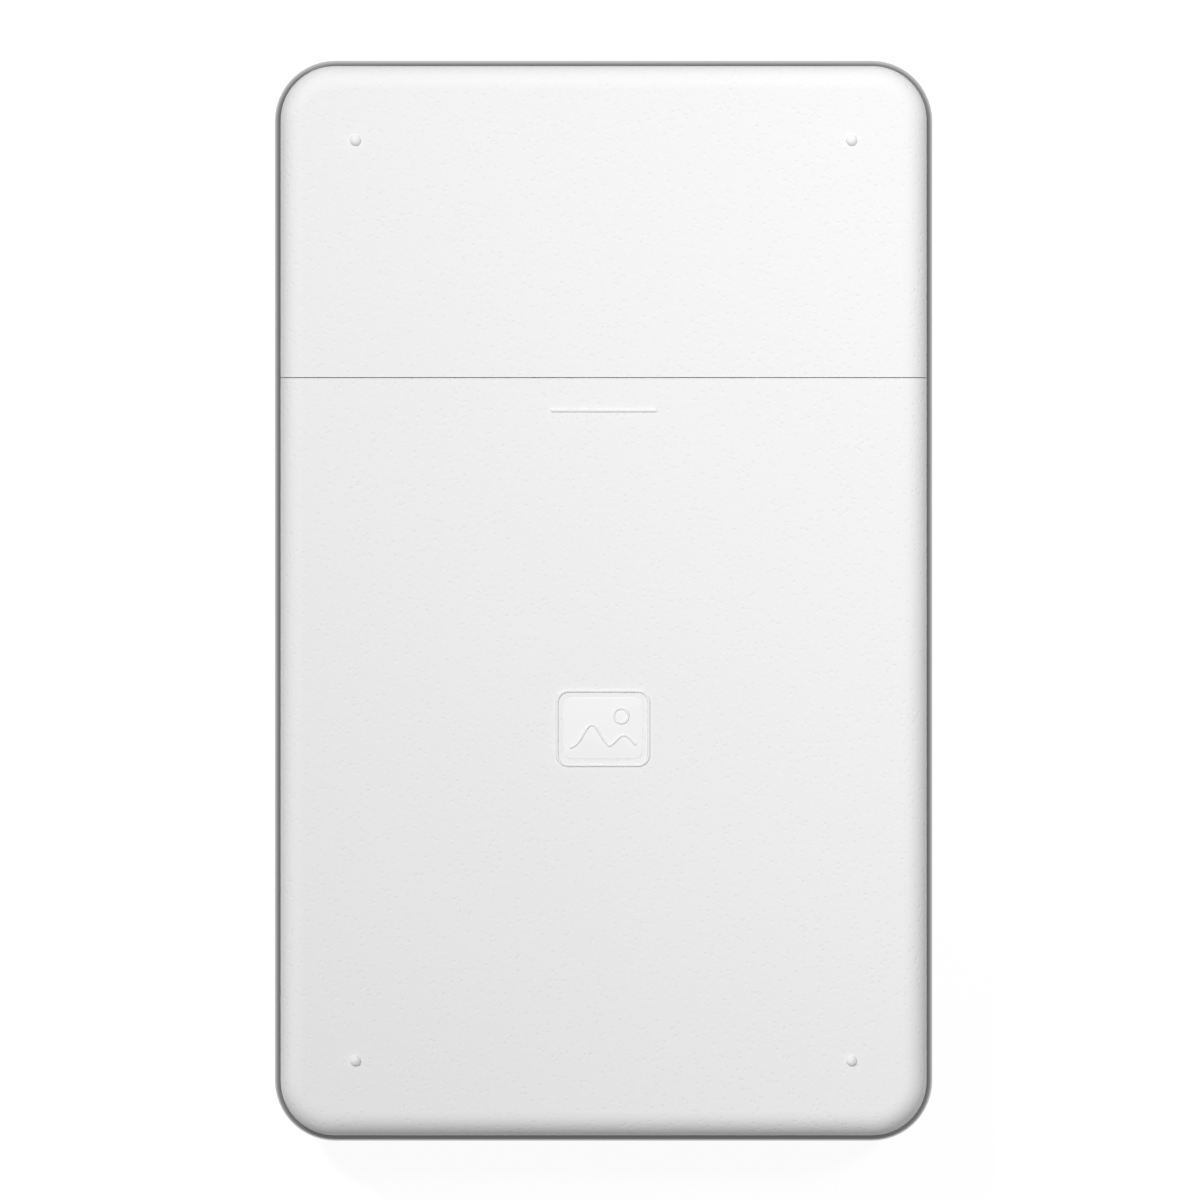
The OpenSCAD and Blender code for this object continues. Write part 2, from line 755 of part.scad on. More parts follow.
module chassis() {
    color(frame_black) intersection() {
        translate([0, 0, 1]) rounded_plate(in_w - 2 * seat_in, in_l - 2 * seat_in, in_r - seat_in, body_h);
        difference() {
            union() {
                tray_floor();
                block([-feed_floor_x, feed_start_y, path_z - feed_floor_t],
                    [feed_floor_x, front_end_y, path_z]);
                both_sides() {
                    block([guide_x, rear_in + tray_end_in, path_z - 0.5],
                        [wall_x + eps, gate_y + gate_t, guide_top_z]);
                    bearing_wall();
                    rail();
                    for (y = screw_ys) translate([screw_x, y, bottom_h + lug_h + pad_gap])
                        cylinder(path_z - bottom_h - lug_h - pad_gap, r = boss_r + 0.1);
                }
                gate();
                flag_lugs();
                battery_keepers();
            }
            tray_channels();
            roller_windows();
            bearing_holes();
            for (s = [-1, 1], y = screw_ys) translate([s * screw_x, y, 0]) {
                cylinder(body_h, r = screw_r + 0.2);
                translate([0, 0, path_z - screw_head_h - 0.1])
                    cylinder(screw_head_h + 0.2, r = screw_head_r + 0.15);
            }
            block([flag_x - 1.2, flag_y - 2, path_z - 3], [flag_x + 1.2, flag_y + 4.6, path_z + 1]);
            block([-sep_w / 2 - 0.1, gate_y - 1.1, path_z - sep_t - 0.05],
                [sep_w / 2 + 0.1, gate_y + 2.6, path_z + 0.1]);
        }
    }
}

seat_in = 0.2;
module tray_floor() {
    block([-rail_x, rear_in + tray_end_in, path_z - floor_t], [rail_x, feed_start_y, path_z]);
}

// Shallow channels leave lands between them, on which the sheets glide
channel_w = 8;
channel_step = 12;
channel_depth = 0.3;
module tray_channels() {
    y0 = rear_in + 5;
    y1 = pick_y - window_half(pick_r) - 4;
    for (i = [-1.5:1.5]) translate([i * channel_step, (y0 + y1) / 2, path_z - channel_depth])
        rounded_plate(channel_w, y1 - y0, channel_w / 4, channel_depth + 1);
}

module bearing_wall() {
    wall_end_y = motor_y + motor_boss_r + 0.7;
    wall_foot_z = axis_z - 3.8;
    difference() {
        block([wall_x, feed_start_y, wall_foot_z], [outer_wall_x, wall_end_y, guide_top_z]);
        // Cut away between the rollers, below the gear pins
        block([wall_x - 1, pick_y + 4.5, wall_foot_z - 1], [outer_wall_x + 1, platen_y - 4.5, axis_z - 2]);
    }
    block([wall_x, wall_end_y - eps, path_z - 0.5], [outer_wall_x, front_end_y, path_z + 1]);
}

// A rail stands on the tray floor, and past it on the roof over the gears
module rail() {
    block([rail_x - rail_t, rail_rear_y, path_z - 0.5], [rail_x, feed_start_y, rail_top_z]);
    block([rail_x - rail_t, feed_start_y - eps, roof_z], [rail_x, rail_front_y, rail_top_z]);
    block([rail_x - eps, rail_rear_y, flange_z], [flange_x, rail_front_y, rail_top_z]);
    block([wall_x, feed_start_y - 1.5, roof_z], [rail_x, rail_front_y, roof_z + roof_t]);
}

module gate() {
    block([-wall_x, gate_y, path_z + gate_slot], [wall_x, gate_y + gate_t, guide_top_z]);
}

// Ribs under the tray floor that keep the battery down
module battery_keepers() {
    for (x = [-15, 0, 15])
        block([x - 0.6, battery_y0 + 3, battery_z + battery_t + 0.3],
            [x + 0.6, battery_y1 - 3, path_z - floor_t + 0.2]);
}

module flag_lugs() {
    for (x = [flag_x - 4, flag_x + 1.2]) slab_x(x, x + 1.2) {
        translate([flag_y, flag_z]) circle(1.4);
        translate([flag_y - 1.4, flag_z]) square([2.8, path_z - feed_floor_t + 0.2 - flag_z]);
    }
}

// Half the opening that a roller needs in the floor
window_gap = 0.4;
function window_half(roller_r) = sqrt(roller_r * roller_r - pow(platen_r - floor_t, 2)) + window_gap;

module roller_windows() {
    platen_half = window_half(platen_r);
    pick_half = window_half(pick_r);
    platen_end_x = guide_x + 0.6;
    block([-platen_end_x, platen_y - platen_half, path_z - 3],
        [platen_end_x, platen_y + platen_half, path_z + 1]);
    for (s = [-1, 1]) block(
        [s * tyre_x - tyre_w / 2 - window_gap, pick_y - pick_half, path_z - 3],
        [s * tyre_x + tyre_w / 2 + window_gap, pick_y + pick_half, path_z + 1]
    );
}

module bearing_holes() {
    for (y = [pick_y, platen_y]) {
        rod_x(-half_w, half_w, y, axis_z, bush_r + seat_gap);
        both_sides() rod_x(wall_x - bush_flange_t - 0.1, wall_x, y, axis_z, bush_flange_r + 0.05);
    }
    for (y = [idler_a_y, idler_b_y, idler_c_y, reduction_y])
        rod_x(wall_x - 1, half_w, y, axis_z, pin_r + seat_gap);
    rod_x(-half_w, half_w, rod_y, rod_z, rod_r + seat_gap);
    rod_x(wall_x - 1, half_w, motor_y, motor_z, motor_boss_r + seat_gap);
    rod_x(flag_x - 5, flag_x + 3, flag_y, flag_z, flag_pin_r + seat_gap);
}

module housing_screws() {
    color("silver") both_sides() for (y = screw_ys) translate([screw_x, y, path_z - screw_head_h]) {
        difference() {
            union() {
                cylinder(screw_head_h - 0.1, r = screw_head_r);
                translate([0, 0, -path_z + screw_head_h + 3.5])
                    cylinder(path_z - screw_head_h - 3.4, r = screw_r);
            }
            block([-1.1, -0.25, screw_head_h - 0.7], [1.1, 0.25, screw_head_h]);
            block([-0.25, -1.1, screw_head_h - 0.7], [0.25, 1.1, screw_head_h]);
        }
    }
}

// ---------------------------------------------------------------- press flap

// The flap runs from its eye down to a flat toe over the pick tyres
module press_flap() {
    toe_y = flap_tip_y - pad_l;
    color("gainsboro") difference() {
        union() {
            slab_x(-flap_w / 2, flap_w / 2) {
                translate([flap_pin_y, flap_pin_z]) circle(flap_eye_r);
                polygon([
                    [flap_pin_y, flap_pin_z - flap_eye_r],
                    [toe_y, flap_low_z],
                    [flap_tip_y, flap_low_z],
                    [flap_tip_y + 0.6, flap_low_z + 0.7],
                    [flap_tip_y + 0.6, flap_low_z + 0.7 + flap_t / 2],
                    [toe_y + 0.4, flap_low_z + flap_t],
                    [flap_pin_y, flap_pin_z - flap_eye_r + flap_t + 0.6],
                ]);
            }
            // Stiffening ribs along the flap
            for (x = [-9, 9]) slab_x(x - 0.5, x + 0.5) polygon([
                [flap_pin_y + 1, flap_pin_z - 0.2],
                [toe_y, flap_low_z + flap_t + 0.5],
                [toe_y + 2, flap_low_z + flap_t - 0.1],
                [toe_y, flap_low_z + 0.3],
                [flap_pin_y + 1, flap_pin_z - flap_eye_r + 0.3],
            ]);
        }
        rod_x(-half_w, half_w, flap_pin_y, flap_pin_z, flap_pin_r + run_gap);
        // Two windows save weight
        for (s = [-1, 1])
            block([s * 4 - 2.5, flap_pin_y + 6, path_z], [s * 4 + 2.5, flap_pin_y + 12, ceiling_z]);
    }
}

module press_flap_pin() {
    pin_end_x = flap_w / 2 + ear_t + 0.4;
    color("silver") rod_x(-pin_end_x, pin_end_x, flap_pin_y, flap_pin_z, flap_pin_r);
}

module press_pad() {
    color("peru") block(
        [-flap_w / 2 + 1, flap_tip_y - pad_l + 0.3, flap_low_z - pad_t],
        [flap_w / 2 - 1, flap_tip_y - 0.3, flap_low_z]
    );
}

// A bent leaf, staked under the cover, whose free end bears on the flap's toe
module press_spring() {
    bend_z = ceiling_z - leaf_t - 0.05;
    foot_y = flap_tip_y - pad_l / 2;
    foot_z = flap_low_z + flap_t + 0.15;
    color("lightsteelblue") difference() {
        slab_x(-leaf_w / 2, leaf_w / 2) polygon([
            [leaf_y - 3, bend_z],
            [leaf_y + 2, bend_z],
            [foot_y, foot_z],
            [foot_y + 2, foot_z + 0.7],
            [foot_y + 2, foot_z + 0.7 + leaf_t],
            [foot_y, foot_z + leaf_t],
            [leaf_y + 2.2, bend_z + leaf_t],
            [leaf_y - 3, bend_z + leaf_t],
        ]);
        both_sides() translate([leaf_w / 4, leaf_y, path_z]) cylinder(body_h, r = 0.65);
    }
}

// ---------------------------------------------------------------- rollers

roller_end_x = outer_wall_x + 0.8;
roller_gear_x = plane1_x + gear_t + 0.1;
flat_cut = 0.35; // flat that keys a roller's gear

module roller_shaft(y) {
    color("silver") difference() {
        rod_x(-roller_end_x, roller_gear_x, y, axis_z, shaft_r);
        block([outer_wall_x + 0.2, y - 2, axis_z + shaft_r - flat_cut], [half_w, y + 2, axis_z + shaft_r + 1]);
    }
}

module roller_gear(y, phase) {
    color("ivory") difference() {
        union() {
            wheel(roller_teeth, phase, plane1_x, y, axis_z);
            rod_x(plane1_x - 0.2, plane1_x + 1, y, axis_z, shaft_r + 0.9);
        }
        difference() {
            rod_x(plane1_x - 1, half_w, y, axis_z, shaft_r + seat_gap);
            block([plane1_x - 2, y - 2, axis_z + shaft_r - flat_cut + seat_gap],
                [half_w, y + 2, axis_z + shaft_r + 1]);
        }
    }
}

module pick_shaft() { roller_shaft(pick_y); }
module pick_gear() { roller_gear(pick_y, pick_phase); }
module platen_shaft() { roller_shaft(platen_y); }
module platen_gear() { roller_gear(platen_y, platen_phase); }

// Two rubber tyres with shallow grooves across the tread
module pick_tyres() {
    grooves = 24;
    color("dimgray") for (s = [-1, 1]) difference() {
        rod_x(s * tyre_x - tyre_w / 2, s * tyre_x + tyre_w / 2, pick_y, axis_z, pick_r);
        rod_x(-half_w, half_w, pick_y, axis_z, shaft_r + seat_gap);
        for (i = [0:grooves - 1]) translate([0, pick_y, axis_z]) rotate([i * 360 / grooves, 0, 0])
            block([s * tyre_x - tyre_w, pick_r - 0.2, -0.12], [s * tyre_x + tyre_w, pick_r + 1, 0.12]);
    }
}

module platen_rubber() {
    color("dimgray") difference() {
        rod_x(-guide_x - 0.4, guide_x + 0.4, platen_y, axis_z, platen_r);
        rod_x(-half_w, half_w, platen_y, axis_z, shaft_r + seat_gap);
    }
}

module shaft_bushes() {
    color("darkgoldenrod") both_sides() for (y = [pick_y, platen_y]) difference() {
        union() {
            rod_x(wall_x, outer_wall_x, y, axis_z, bush_r);
            rod_x(wall_x - bush_flange_t - 0.05, wall_x - 0.05, y, axis_z, bush_flange_r);
            rod_x(wall_x - 0.1, wall_x + 0.1, y, axis_z, bush_r - 0.3);
        }
        rod_x(0, half_w, y, axis_z, shaft_r + run_gap);
    }
}

sep_w = 12;
sep_t = 0.9;
module separation_pad() {
    color("dimgray") block([-sep_w / 2, gate_y - 1, path_z - sep_t], [sep_w / 2, gate_y + 2.5, path_z - 0.03]);
}

// ---------------------------------------------------------------- gear train

module idler(y, phase) {
    color("ivory") difference() {
        union() {
            wheel(idler_teeth, phase, plane1_x, y, axis_z);
            rod_x(outer_wall_x + 0.1, plane1_x + 1, y, axis_z, pin_r + 0.7);
        }
        rod_x(0, half_w, y, axis_z, pin_r + run_gap);
    }
}

module idler_a() { idler(idler_a_y, idler_a_phase); }
module idler_b() { idler(idler_b_y, idler_b_phase); }
module idler_c() { idler(idler_c_y, idler_c_phase); }

// The small wheel drives the platen gear, the big one meets the motor pinion
module reduction_gear() {
    color("ivory") difference() {
        union() {
            wheel(small_teeth, small_phase, plane1_x, reduction_y, axis_z);
            wheel(big_teeth, big_phase, plane2_x, reduction_y, axis_z);
            rod_x(outer_wall_x + 0.1, plane2_x + 1, reduction_y, axis_z, pin_r + 0.7);
        }
        rod_x(0, half_w, reduction_y, axis_z, pin_r + run_gap);
        // Web between rim and hub
        difference() {
            rod_x(plane2_end_x - 0.6, half_w, reduction_y, axis_z, big_pitch_r - 1.2);
            rod_x(plane2_end_x - 1, half_w, reduction_y, axis_z, pin_r + 0.7);
        }
    }
}

module gear_pins() {
    color("silver") {
        for (y = [idler_a_y, idler_b_y, idler_c_y])
            rod_x(wall_x + 0.1, plane1_x + gear_t + 0.7, y, axis_z, pin_r);
        rod_x(wall_x + 0.1, plane2_end_x + 0.7, reduction_y, axis_z, pin_r);
    }
}

module clip(x, y) {
    difference() {
        rod_x(x, x + clip_t, y, axis_z, pin_r + 0.7);
        rod_x(x - 1, x + 1, y, axis_z, pin_r + seat_gap);
        block([x - 1, y - 0.4, axis_z + 0.5], [x + 1, y + 0.4, axis_z + 3]);
    }
}

module gear_clips() {
    color("gray") {
        for (y = [idler_a_y, idler_b_y, idler_c_y]) clip(plane1_x + gear_t + 0.15, y);
        clip(plane2_end_x + 0.15, reduction_y);
    }
}

motor_boss_r = 1.5;
motor_nose = 1.2;
module motor_can() {
    rib_x = motor_rear_x + 1.2;
    color("lightsteelblue") difference() {
        union() {
            rod_x(rib_x, motor_face_x, motor_y, motor_z, motor_r);
            rod_x(motor_rear_x, rib_x, motor_y, motor_z, motor_r - 0.8);
            rod_x(motor_face_x, motor_face_x + motor_nose, motor_y, motor_z, motor_boss_r);
            for (s = [-1, 1]) block(
                [motor_rear_x - 1, motor_y + s * 2 - 0.5, motor_z - 0.15],
                [motor_rear_x + 0.2, motor_y + s * 2 + 0.5, motor_z + 0.15]
            );
        }
        rod_x(motor_face_x - 3, half_w, motor_y, motor_z, motor_shaft_r + run_gap);
    }
}

module motor_shaft() {
    color("silver") rod_x(motor_face_x - 2.5, plane2_end_x + 0.2, motor_y, motor_z, motor_shaft_r);
}

module motor_pinion() {
    color("goldenrod") difference() {
        wheel(motor_teeth, motor_phase, plane2_x, motor_y, motor_z);
        rod_x(0, half_w, motor_y, motor_z, motor_shaft_r + seat_gap);
    }
}

// ---------------------------------------------------------------- print head

// Ceramic bar with a raised heater line over the platen
module print_bar() {
    color("white") slab_x(-head_x + 0.3, head_x - 0.3) polygon([
        [bar_y0, bar_z + 0.35],
        [bar_y0 + 0.8, bar_z],
        [bar_y1 - 0.8, bar_z],
        [bar_y1, bar_z + 0.35],
        [bar_y1, sink_z - 0.02],
        [bar_y0, sink_z - 0.02],
    ]);
}

fin_count = 5;
fin_t = 0.8;
module heat_sink() {
    arm_w = 2.2;
    fin_step = (head_l - fin_t - 1) / (fin_count - 1);
    color("lightgray") difference() {
        union() {
            block([-head_x, head_y0, sink_z], [head_x, head_y1, sink_top_z]);
            for (i = [0:fin_count - 1])
                block([-head_x + 6, head_y0 + 0.5 + i * fin_step, sink_top_z - 0.1],
                    [head_x - 2, head_y0 + 0.5 + i * fin_step + fin_t, sink_top_z + fin_h]);
            both_sides() slab_x(head_x - arm_w, head_x) {
                translate([rod_y, rod_z]) circle(rod_r + 0.8);
                polygon([
                    [rod_y, rod_z - rod_r],
                    [head_y0 + 1, sink_z + 0.1],
                    [head_y0 + 1, sink_top_z + 0.6],
                    [rod_y, rod_z + rod_r + 0.6],
                ]);
            }
        }
        rod_x(-half_w, half_w, rod_y, rod_z, rod_r + run_gap);
        both_sides() translate([spring_x, platen_y, sink_top_z])
            cylinder(body_h, r = spring_r + spring_wire_r + 0.4);
    }
    color("lightgray") both_sides() translate([spring_x, platen_y, sink_top_z - 0.1])
        cylinder(1.1, r = spigot_r);
}

module head_rod() {
    color("silver") rod_x(-outer_wall_x - 0.3, outer_wall_x + 0.2, rod_y, rod_z, rod_r);
}

module head_springs() {
    seat_z = sink_top_z + spring_wire_r + 0.03;
    rise = ceiling_z - spring_wire_r - 0.05 - seat_z;
    color("silver") for (s = [-1, 1]) translate([s * spring_x, platen_y, seat_z])
        tube(coil_path(spring_r, rise, spring_turns, 16), spring_wire_r, [0, 0, 1], 6);
}

// A flat cable from the head, over the bearing wall and down to the board
module head_flex() {
    over_z = guide_top_z + 0.35;
    foot_z = board_top_z + 1;
    color("orange") slab_y(flex_y - flex_w / 2, flex_y + flex_w / 2) polygon([
        [-head_x + 3, sink_top_z + 0.25],
        [-head_x + 2, over_z],
        [flex_x + 0.6, over_z],
        [flex_x, over_z - 0.8],
        [flex_x, foot_z],
        [flex_x - flex_t, foot_z],
        [flex_x - flex_t, over_z - 0.7],
        [flex_x + 0.5, over_z + flex_t],
        [-head_x + 2.1, over_z + flex_t],
        [-head_x + 3.2, sink_top_z + 0.3],
    ]);
}

// ---------------------------------------------------------------- paper flag

// A lever whose tip stands in the paper path and whose foot stands in the sensor
module paper_flag() {
    color("black") difference() {
        slab_x(flag_x - flag_t / 2, flag_x + flag_t / 2) {
            translate([flag_y, flag_z]) circle(flag_hub_r);
            polygon([
                [flag_y - 0.7, flag_z],
                [flag_y + 0.7, flag_z],
                [flag_y + 0.5, path_z + flag_tip - 0.4],
                [flag_y, path_z + flag_tip],
                [flag_y - 0.5, path_z + flag_tip - 0.4],
            ]);
            polygon([
                [flag_y - 0.7, flag_z],
                [flag_y - 1.1, board_top_z + 1],
                [flag_y + 1.1, board_top_z + 1],
                [flag_y + 0.7, flag_z],
            ]);
        }
        rod_x(flag_x - 1, flag_x + 1, flag_y, flag_z, flag_pin_r + run_gap);
    }
}

module flag_pin() {
    color("silver") rod_x(flag_x - 4.2, flag_x + 2.6, flag_y, flag_z, flag_pin_r);
}

module flag_spring() {
    wire_r = 0.15;
    color("silver") translate([flag_x - 2.6, flag_y, flag_z]) rotate([0, 90, 0])
        tube(coil_path(flag_pin_r + wire_r + 0.15, 1.7, 3.5, 12), wire_r, [0, 0, 1], 6);
}

module photo_sensor() {
    post_t = 1.1;
    color("black") {
        block([flag_x - 2.2, flag_y - 2, solder_z], [flag_x + 2.2, flag_y + 2, board_top_z + 0.7]);
        for (x = [flag_x - 2.2, flag_x + 2.2 - post_t])
            block([x, flag_y - 1.3, board_top_z + 0.5], [x + post_t, flag_y + 1.3, board_top_z + 2.8]);
    }
}

// ---------------------------------------------------------------- electronics

module main_board() {
    color("darkgreen") difference() {
        translate([0, 0, board_z + 0.02]) linear_extrude(board_t - 0.02) polygon([
            [board_x0, strip_y0],
            [strip_x1, strip_y0],
            [strip_x1, board_y0],
            [board_x1, board_y0],
            [board_x1, board_y1],
            [strip_x1, board_y1],
            [strip_x1, strip_y1],
            [board_x0, strip_y1],
        ]);
        for (p = board_posts) translate([p[0], p[1], 0]) cylinder(board_top_z + 1, r = post_pin_r + 0.1);
    }
}

// Shield over the radio, with rows of vents; it leaves a lane in front for the motor's connector
can_x = 4;
can_w = 14;
can_y = board_y0 + 2;
can_l = board_y1 - 4.4 - can_y;
module shield_can() {
    sheet = 0.3;
    can_h = 1.6;
    vent_step = 2.5;
    columns = floor((can_w - 4) / vent_step);
    rows = floor((can_l - 4) / vent_step);
    color("lightgray") difference() {
        block([can_x, can_y, solder_z], [can_x + can_w, can_y + can_l, board_top_z + can_h]);
        block([can_x + sheet, can_y + sheet, 0],
            [can_x + can_w - sheet, can_y + can_l - sheet, board_top_z + can_h - sheet]);
        translate([can_x + can_w / 2, can_y + can_l / 2, 0]) for (i = [1:columns], j = [1:rows])
            translate([(i - (columns + 1) / 2) * vent_step, (j - (rows + 1) / 2) * vent_step, 0])
                cylinder(body_h, r = 0.5);
    }
}

// Plain packages: [x, y, length, width, height], each placed from what it stands beside
chips = [
    [board_x0 + 6.2, board_y0 + 2, 2.4, 4, 0.7],
    [flag_x - 8.4, board_y0 + 4, 6, 6, 0.9],
    [flag_x + 4.6, board_y0 + 6, 5, 4, 0.8],
    [flag_x + 4.6, board_y0 + 1.6, 3, 3, 0.6],
    [can_x - 4.4, board_y0 + 2.5, 2, 1.2, 0.8],
    [board_x1 - 4.4, board_y0 + 4, 3, 5, 1],
    [board_x0 + 1.2, strip_y0 + 6.6, 3, 3, 0.8],
];
module board_chips() {
    color("black") for (c = chips) translate([c[0], c[1], solder_z]) cube([c[2], c[3], c[4]]);
    // Row of small capacitors beside the shield
    count = 5;
    step = (can_l - 1.8) / (count - 1);
    color("tan") for (i = [0:count - 1]) translate([can_x - 2.2, can_y + 0.4 + i * step, solder_z])
        cube([0.6, 1, 0.5]);
}

lead_x = -20;
lead_step = 1.5;
motor_lead_x = motor_rear_x - 2.6;
module board_connectors() {
    module header(x0, x1, y0, y1, h) {
        difference() {
            block([x0, y0, solder_z], [x1, y1, board_top_z + h]);
            block([x0 + 0.5, y0 + 0.5, board_top_z + 0.6], [x1 - 0.5, y1 - 0.5, board_top_z + h + 1]);
        }
    }
    color("ivory") {
        block([lead_x - 2.6, board_y0 + 1, solder_z], [lead_x + 2.6, board_y0 + 3.6, board_top_z + 1.8]);
        block([motor_lead_x - 2.4, board_y1 - 3, solder_z],
            [motor_lead_x + 2.4, board_y1 - 0.6, board_top_z + 1.6]);
        header(flex_x - 1.2, flex_x + 1, flex_y - flex_w / 2 - 0.8, flex_y + flex_w / 2 + 0.8, 1.5);
    }
}

module usb_port() {
    lip = 0.3;
    usb_x0 = -in_x - 0.9;
    color("silver") translate([0, usb_y, board_top_z + usb_h / 2 + 0.02]) difference() {
        oblong_x(usb_x0, usb_x0 + usb_l, 0, 0, usb_w, usb_h);
        oblong_x(usb_x0 - 1, usb_x0 + usb_l - 1, 0, 0, usb_w - 2 * lip, usb_h - 2 * lip);
    }
    color("black") translate([0, usb_y, board_top_z + usb_h / 2])
        block([usb_x0 + 0.8, -usb_w / 4, -0.3], [usb_x0 + usb_l - 0.9, usb_w / 4, 0.3]);
}

switch_x = -in_x + 2.1;
module power_switch() {
    color("black")
        block([switch_x, button_y - 2.3, solder_z], [switch_x + 2.6, button_y + 2.3, board_top_z + 2.6]);
    color("silver") rod_x(switch_x - 0.3, switch_x + 0.1, button_y, side_z, 0.6);
}

button_travel = 0.35;
button_proud = 0.5;
module power_button() {
    flange_t = 0.6;
    flange_w = 0.8;
    button_x = -in_x - shell_wall - button_proud;
    color("silver") {
        oblong_x(button_x, -in_x + 0.2, button_y, side_z, button_w, button_h);
        oblong_x(-in_x + 0.1, -in_x + 0.1 + flange_t, button_y, side_z,
            button_w + 2 * flange_w, button_h + flange_w);
        rod_x(-in_x, switch_x - 0.3 - button_travel - 0.1, button_y, side_z, 0.8);
    }
}

guide_rod_r = 0.8;
module status_led() {
    color("lightyellow")
        block([-in_x + 2.4, led_y - 0.8, solder_z], [-in_x + 3.6, led_y + 0.8, board_top_z + 2.2]);
}

module light_guide() {
    color("white", 0.5) {
        rod_x(-in_x - shell_wall, -in_x + 2.1, led_y, side_z, guide_rod_r);
        rod_x(-in_x + 0.1, -in_x + 0.8, led_y, side_z, guide_rod_r + 0.6);
    }
}

// A pouch cell with rounded long edges
module battery_pack() {
    round_r = 1.5;
    color("silver") translate([0, 0, battery_z + 0.02]) slab_y(battery_y0, battery_y1) {
        translate([-battery_w / 2 + round_r, 0]) square([battery_w - 2 * round_r, battery_t]);
        translate([-battery_w / 2, round_r]) square([battery_w, battery_t - 2 * round_r]);
        for (x = [-1, 1], z = [round_r, battery_t - round_r])
            translate([x * (battery_w / 2 - round_r), z]) circle(round_r);
    }
}

// Protection board across the cell's front edge
module battery_board() {
    color("darkgreen") block(
        [-battery_w / 2 + 3, battery_y1 + 0.1, battery_z + 1],
        [battery_w / 2 - 3, battery_y1 + 0.9, battery_z + 4.4]
    );
    color("black") for (x = [-8, 2, 9]) block(
        [x, battery_y1 + 0.8, battery_z + 1.6],
        [x + 3, battery_y1 + 1.6, battery_z + 3.8]
    );
}

module battery_tape() {
    color("beige") block(
        [-battery_w / 2 + 4, battery_y0 + 5, shell_wall + 0.02],
        [battery_w / 2 - 4, battery_y1 - 5, battery_z]
    );
}

// Two leads run under the pick roller to the board
module battery_leads() {
    start_z = battery_z + 3;
    end_z = board_top_z + 1;
    low_z = shell_wall + 0.7;
    color("firebrick") for (s = [-1, 1]) tube([
        [lead_x + s * lead_step / 2, battery_y1 + 1, start_z],
        [lead_x + s * lead_step / 2, battery_y1 + 2.5, start_z],
        [lead_x + s * lead_step / 2, battery_y1 + 5, start_z - 1],
        [lead_x + s * lead_step / 2, battery_y1 + 8, low_z + 0.2],
        [lead_x + s * lead_step / 2, pick_y - 10, low_z],
        [lead_x + s * lead_step / 2, pick_y - 4, low_z],
        [lead_x + s * lead_step / 2, pick_y + 1, low_z],
        [lead_x + s * lead_step / 2, board_y0 - 1.9, low_z + 0.4],
        [lead_x + s * lead_step / 2, board_y0 - 0.9, end_z - 0.5],
        [lead_x + s * lead_step / 2, board_y0 - 0.2, end_z],
        [lead_x + s * lead_step / 2, board_y0 + 0.95, end_z],
    ], 0.45, [1, 0, 0], 8);
}

// Two leads from the motor's rear, under the platen roller to the board
module motor_leads() {
    low_z = shell_wall + 0.8;
    end_z = board_top_z + 0.8;
    color("midnightblue") for (s = [-1, 1]) let (x = motor_lead_x - s * 0.8) tube([
        [motor_rear_x - 1.1, motor_y + s * 2, motor_z],
        [x + 0.5, motor_y + s * 2, motor_z],
        [x + 0.2, motor_y + s * 2 - 0.5, motor_z - 0.3],
        [x, motor_y + s * 2 - 1.6, motor_z - 1],
        [x, motor_y + s * 2 - 4, motor_z - 3],
        [x, motor_y + s * 2 - 5.5, low_z],
        [x, platen_y, low_z],
        [x, platen_y - 2.6, low_z],
        [x, board_y1 + 0.9, end_z - 0.8],
        [x, board_y1 + 0.2, end_z],
        [x, board_y1 - 0.55, end_z],
    ], 0.4, [0.1, 0, 1], 8);
}

bottom_shell();
frame_band();
top_panel();
paper_cover();
chassis();
housing_screws();
press_flap();
press_flap_pin();
press_pad();
press_spring();
pick_shaft();
pick_tyres();
pick_gear();
platen_shaft();
platen_rubber();
platen_gear();
shaft_bushes();
separation_pad();
idler_a();
idler_b();
idler_c();
reduction_gear();
gear_pins();
gear_clips();
motor_can();
motor_shaft();
motor_pinion();
print_bar();
heat_sink();
head_rod();
head_springs();
head_flex();
paper_flag();
flag_pin();
flag_spring();
photo_sensor();
main_board();
shield_can();
board_chips();
board_connectors();
usb_port();
power_switch();
power_button();
status_led();
light_guide();
battery_pack();
battery_board();
battery_leads();
battery_tape();
motor_leads();
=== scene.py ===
import json
import math
import bpy
import bmesh
import numpy as np
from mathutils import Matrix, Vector


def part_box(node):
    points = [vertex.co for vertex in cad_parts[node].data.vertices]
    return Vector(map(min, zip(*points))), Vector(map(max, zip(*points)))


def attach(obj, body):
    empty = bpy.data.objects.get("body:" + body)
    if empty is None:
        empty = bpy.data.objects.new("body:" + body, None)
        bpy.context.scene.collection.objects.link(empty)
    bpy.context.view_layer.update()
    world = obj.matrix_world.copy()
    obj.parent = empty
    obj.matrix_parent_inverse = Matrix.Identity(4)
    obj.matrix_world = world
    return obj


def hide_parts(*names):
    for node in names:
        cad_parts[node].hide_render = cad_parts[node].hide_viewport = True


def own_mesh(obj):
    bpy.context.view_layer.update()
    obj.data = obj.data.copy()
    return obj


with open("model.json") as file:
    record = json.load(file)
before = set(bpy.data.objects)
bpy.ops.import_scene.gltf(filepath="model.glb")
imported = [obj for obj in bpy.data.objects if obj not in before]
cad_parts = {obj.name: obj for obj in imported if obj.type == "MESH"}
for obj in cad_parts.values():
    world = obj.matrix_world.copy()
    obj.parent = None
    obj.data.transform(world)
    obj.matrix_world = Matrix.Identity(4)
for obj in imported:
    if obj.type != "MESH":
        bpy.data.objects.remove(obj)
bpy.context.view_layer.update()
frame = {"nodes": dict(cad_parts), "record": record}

mm = 0.001
mergeGap = 1e-6                     # m
scene = bpy.context.scene
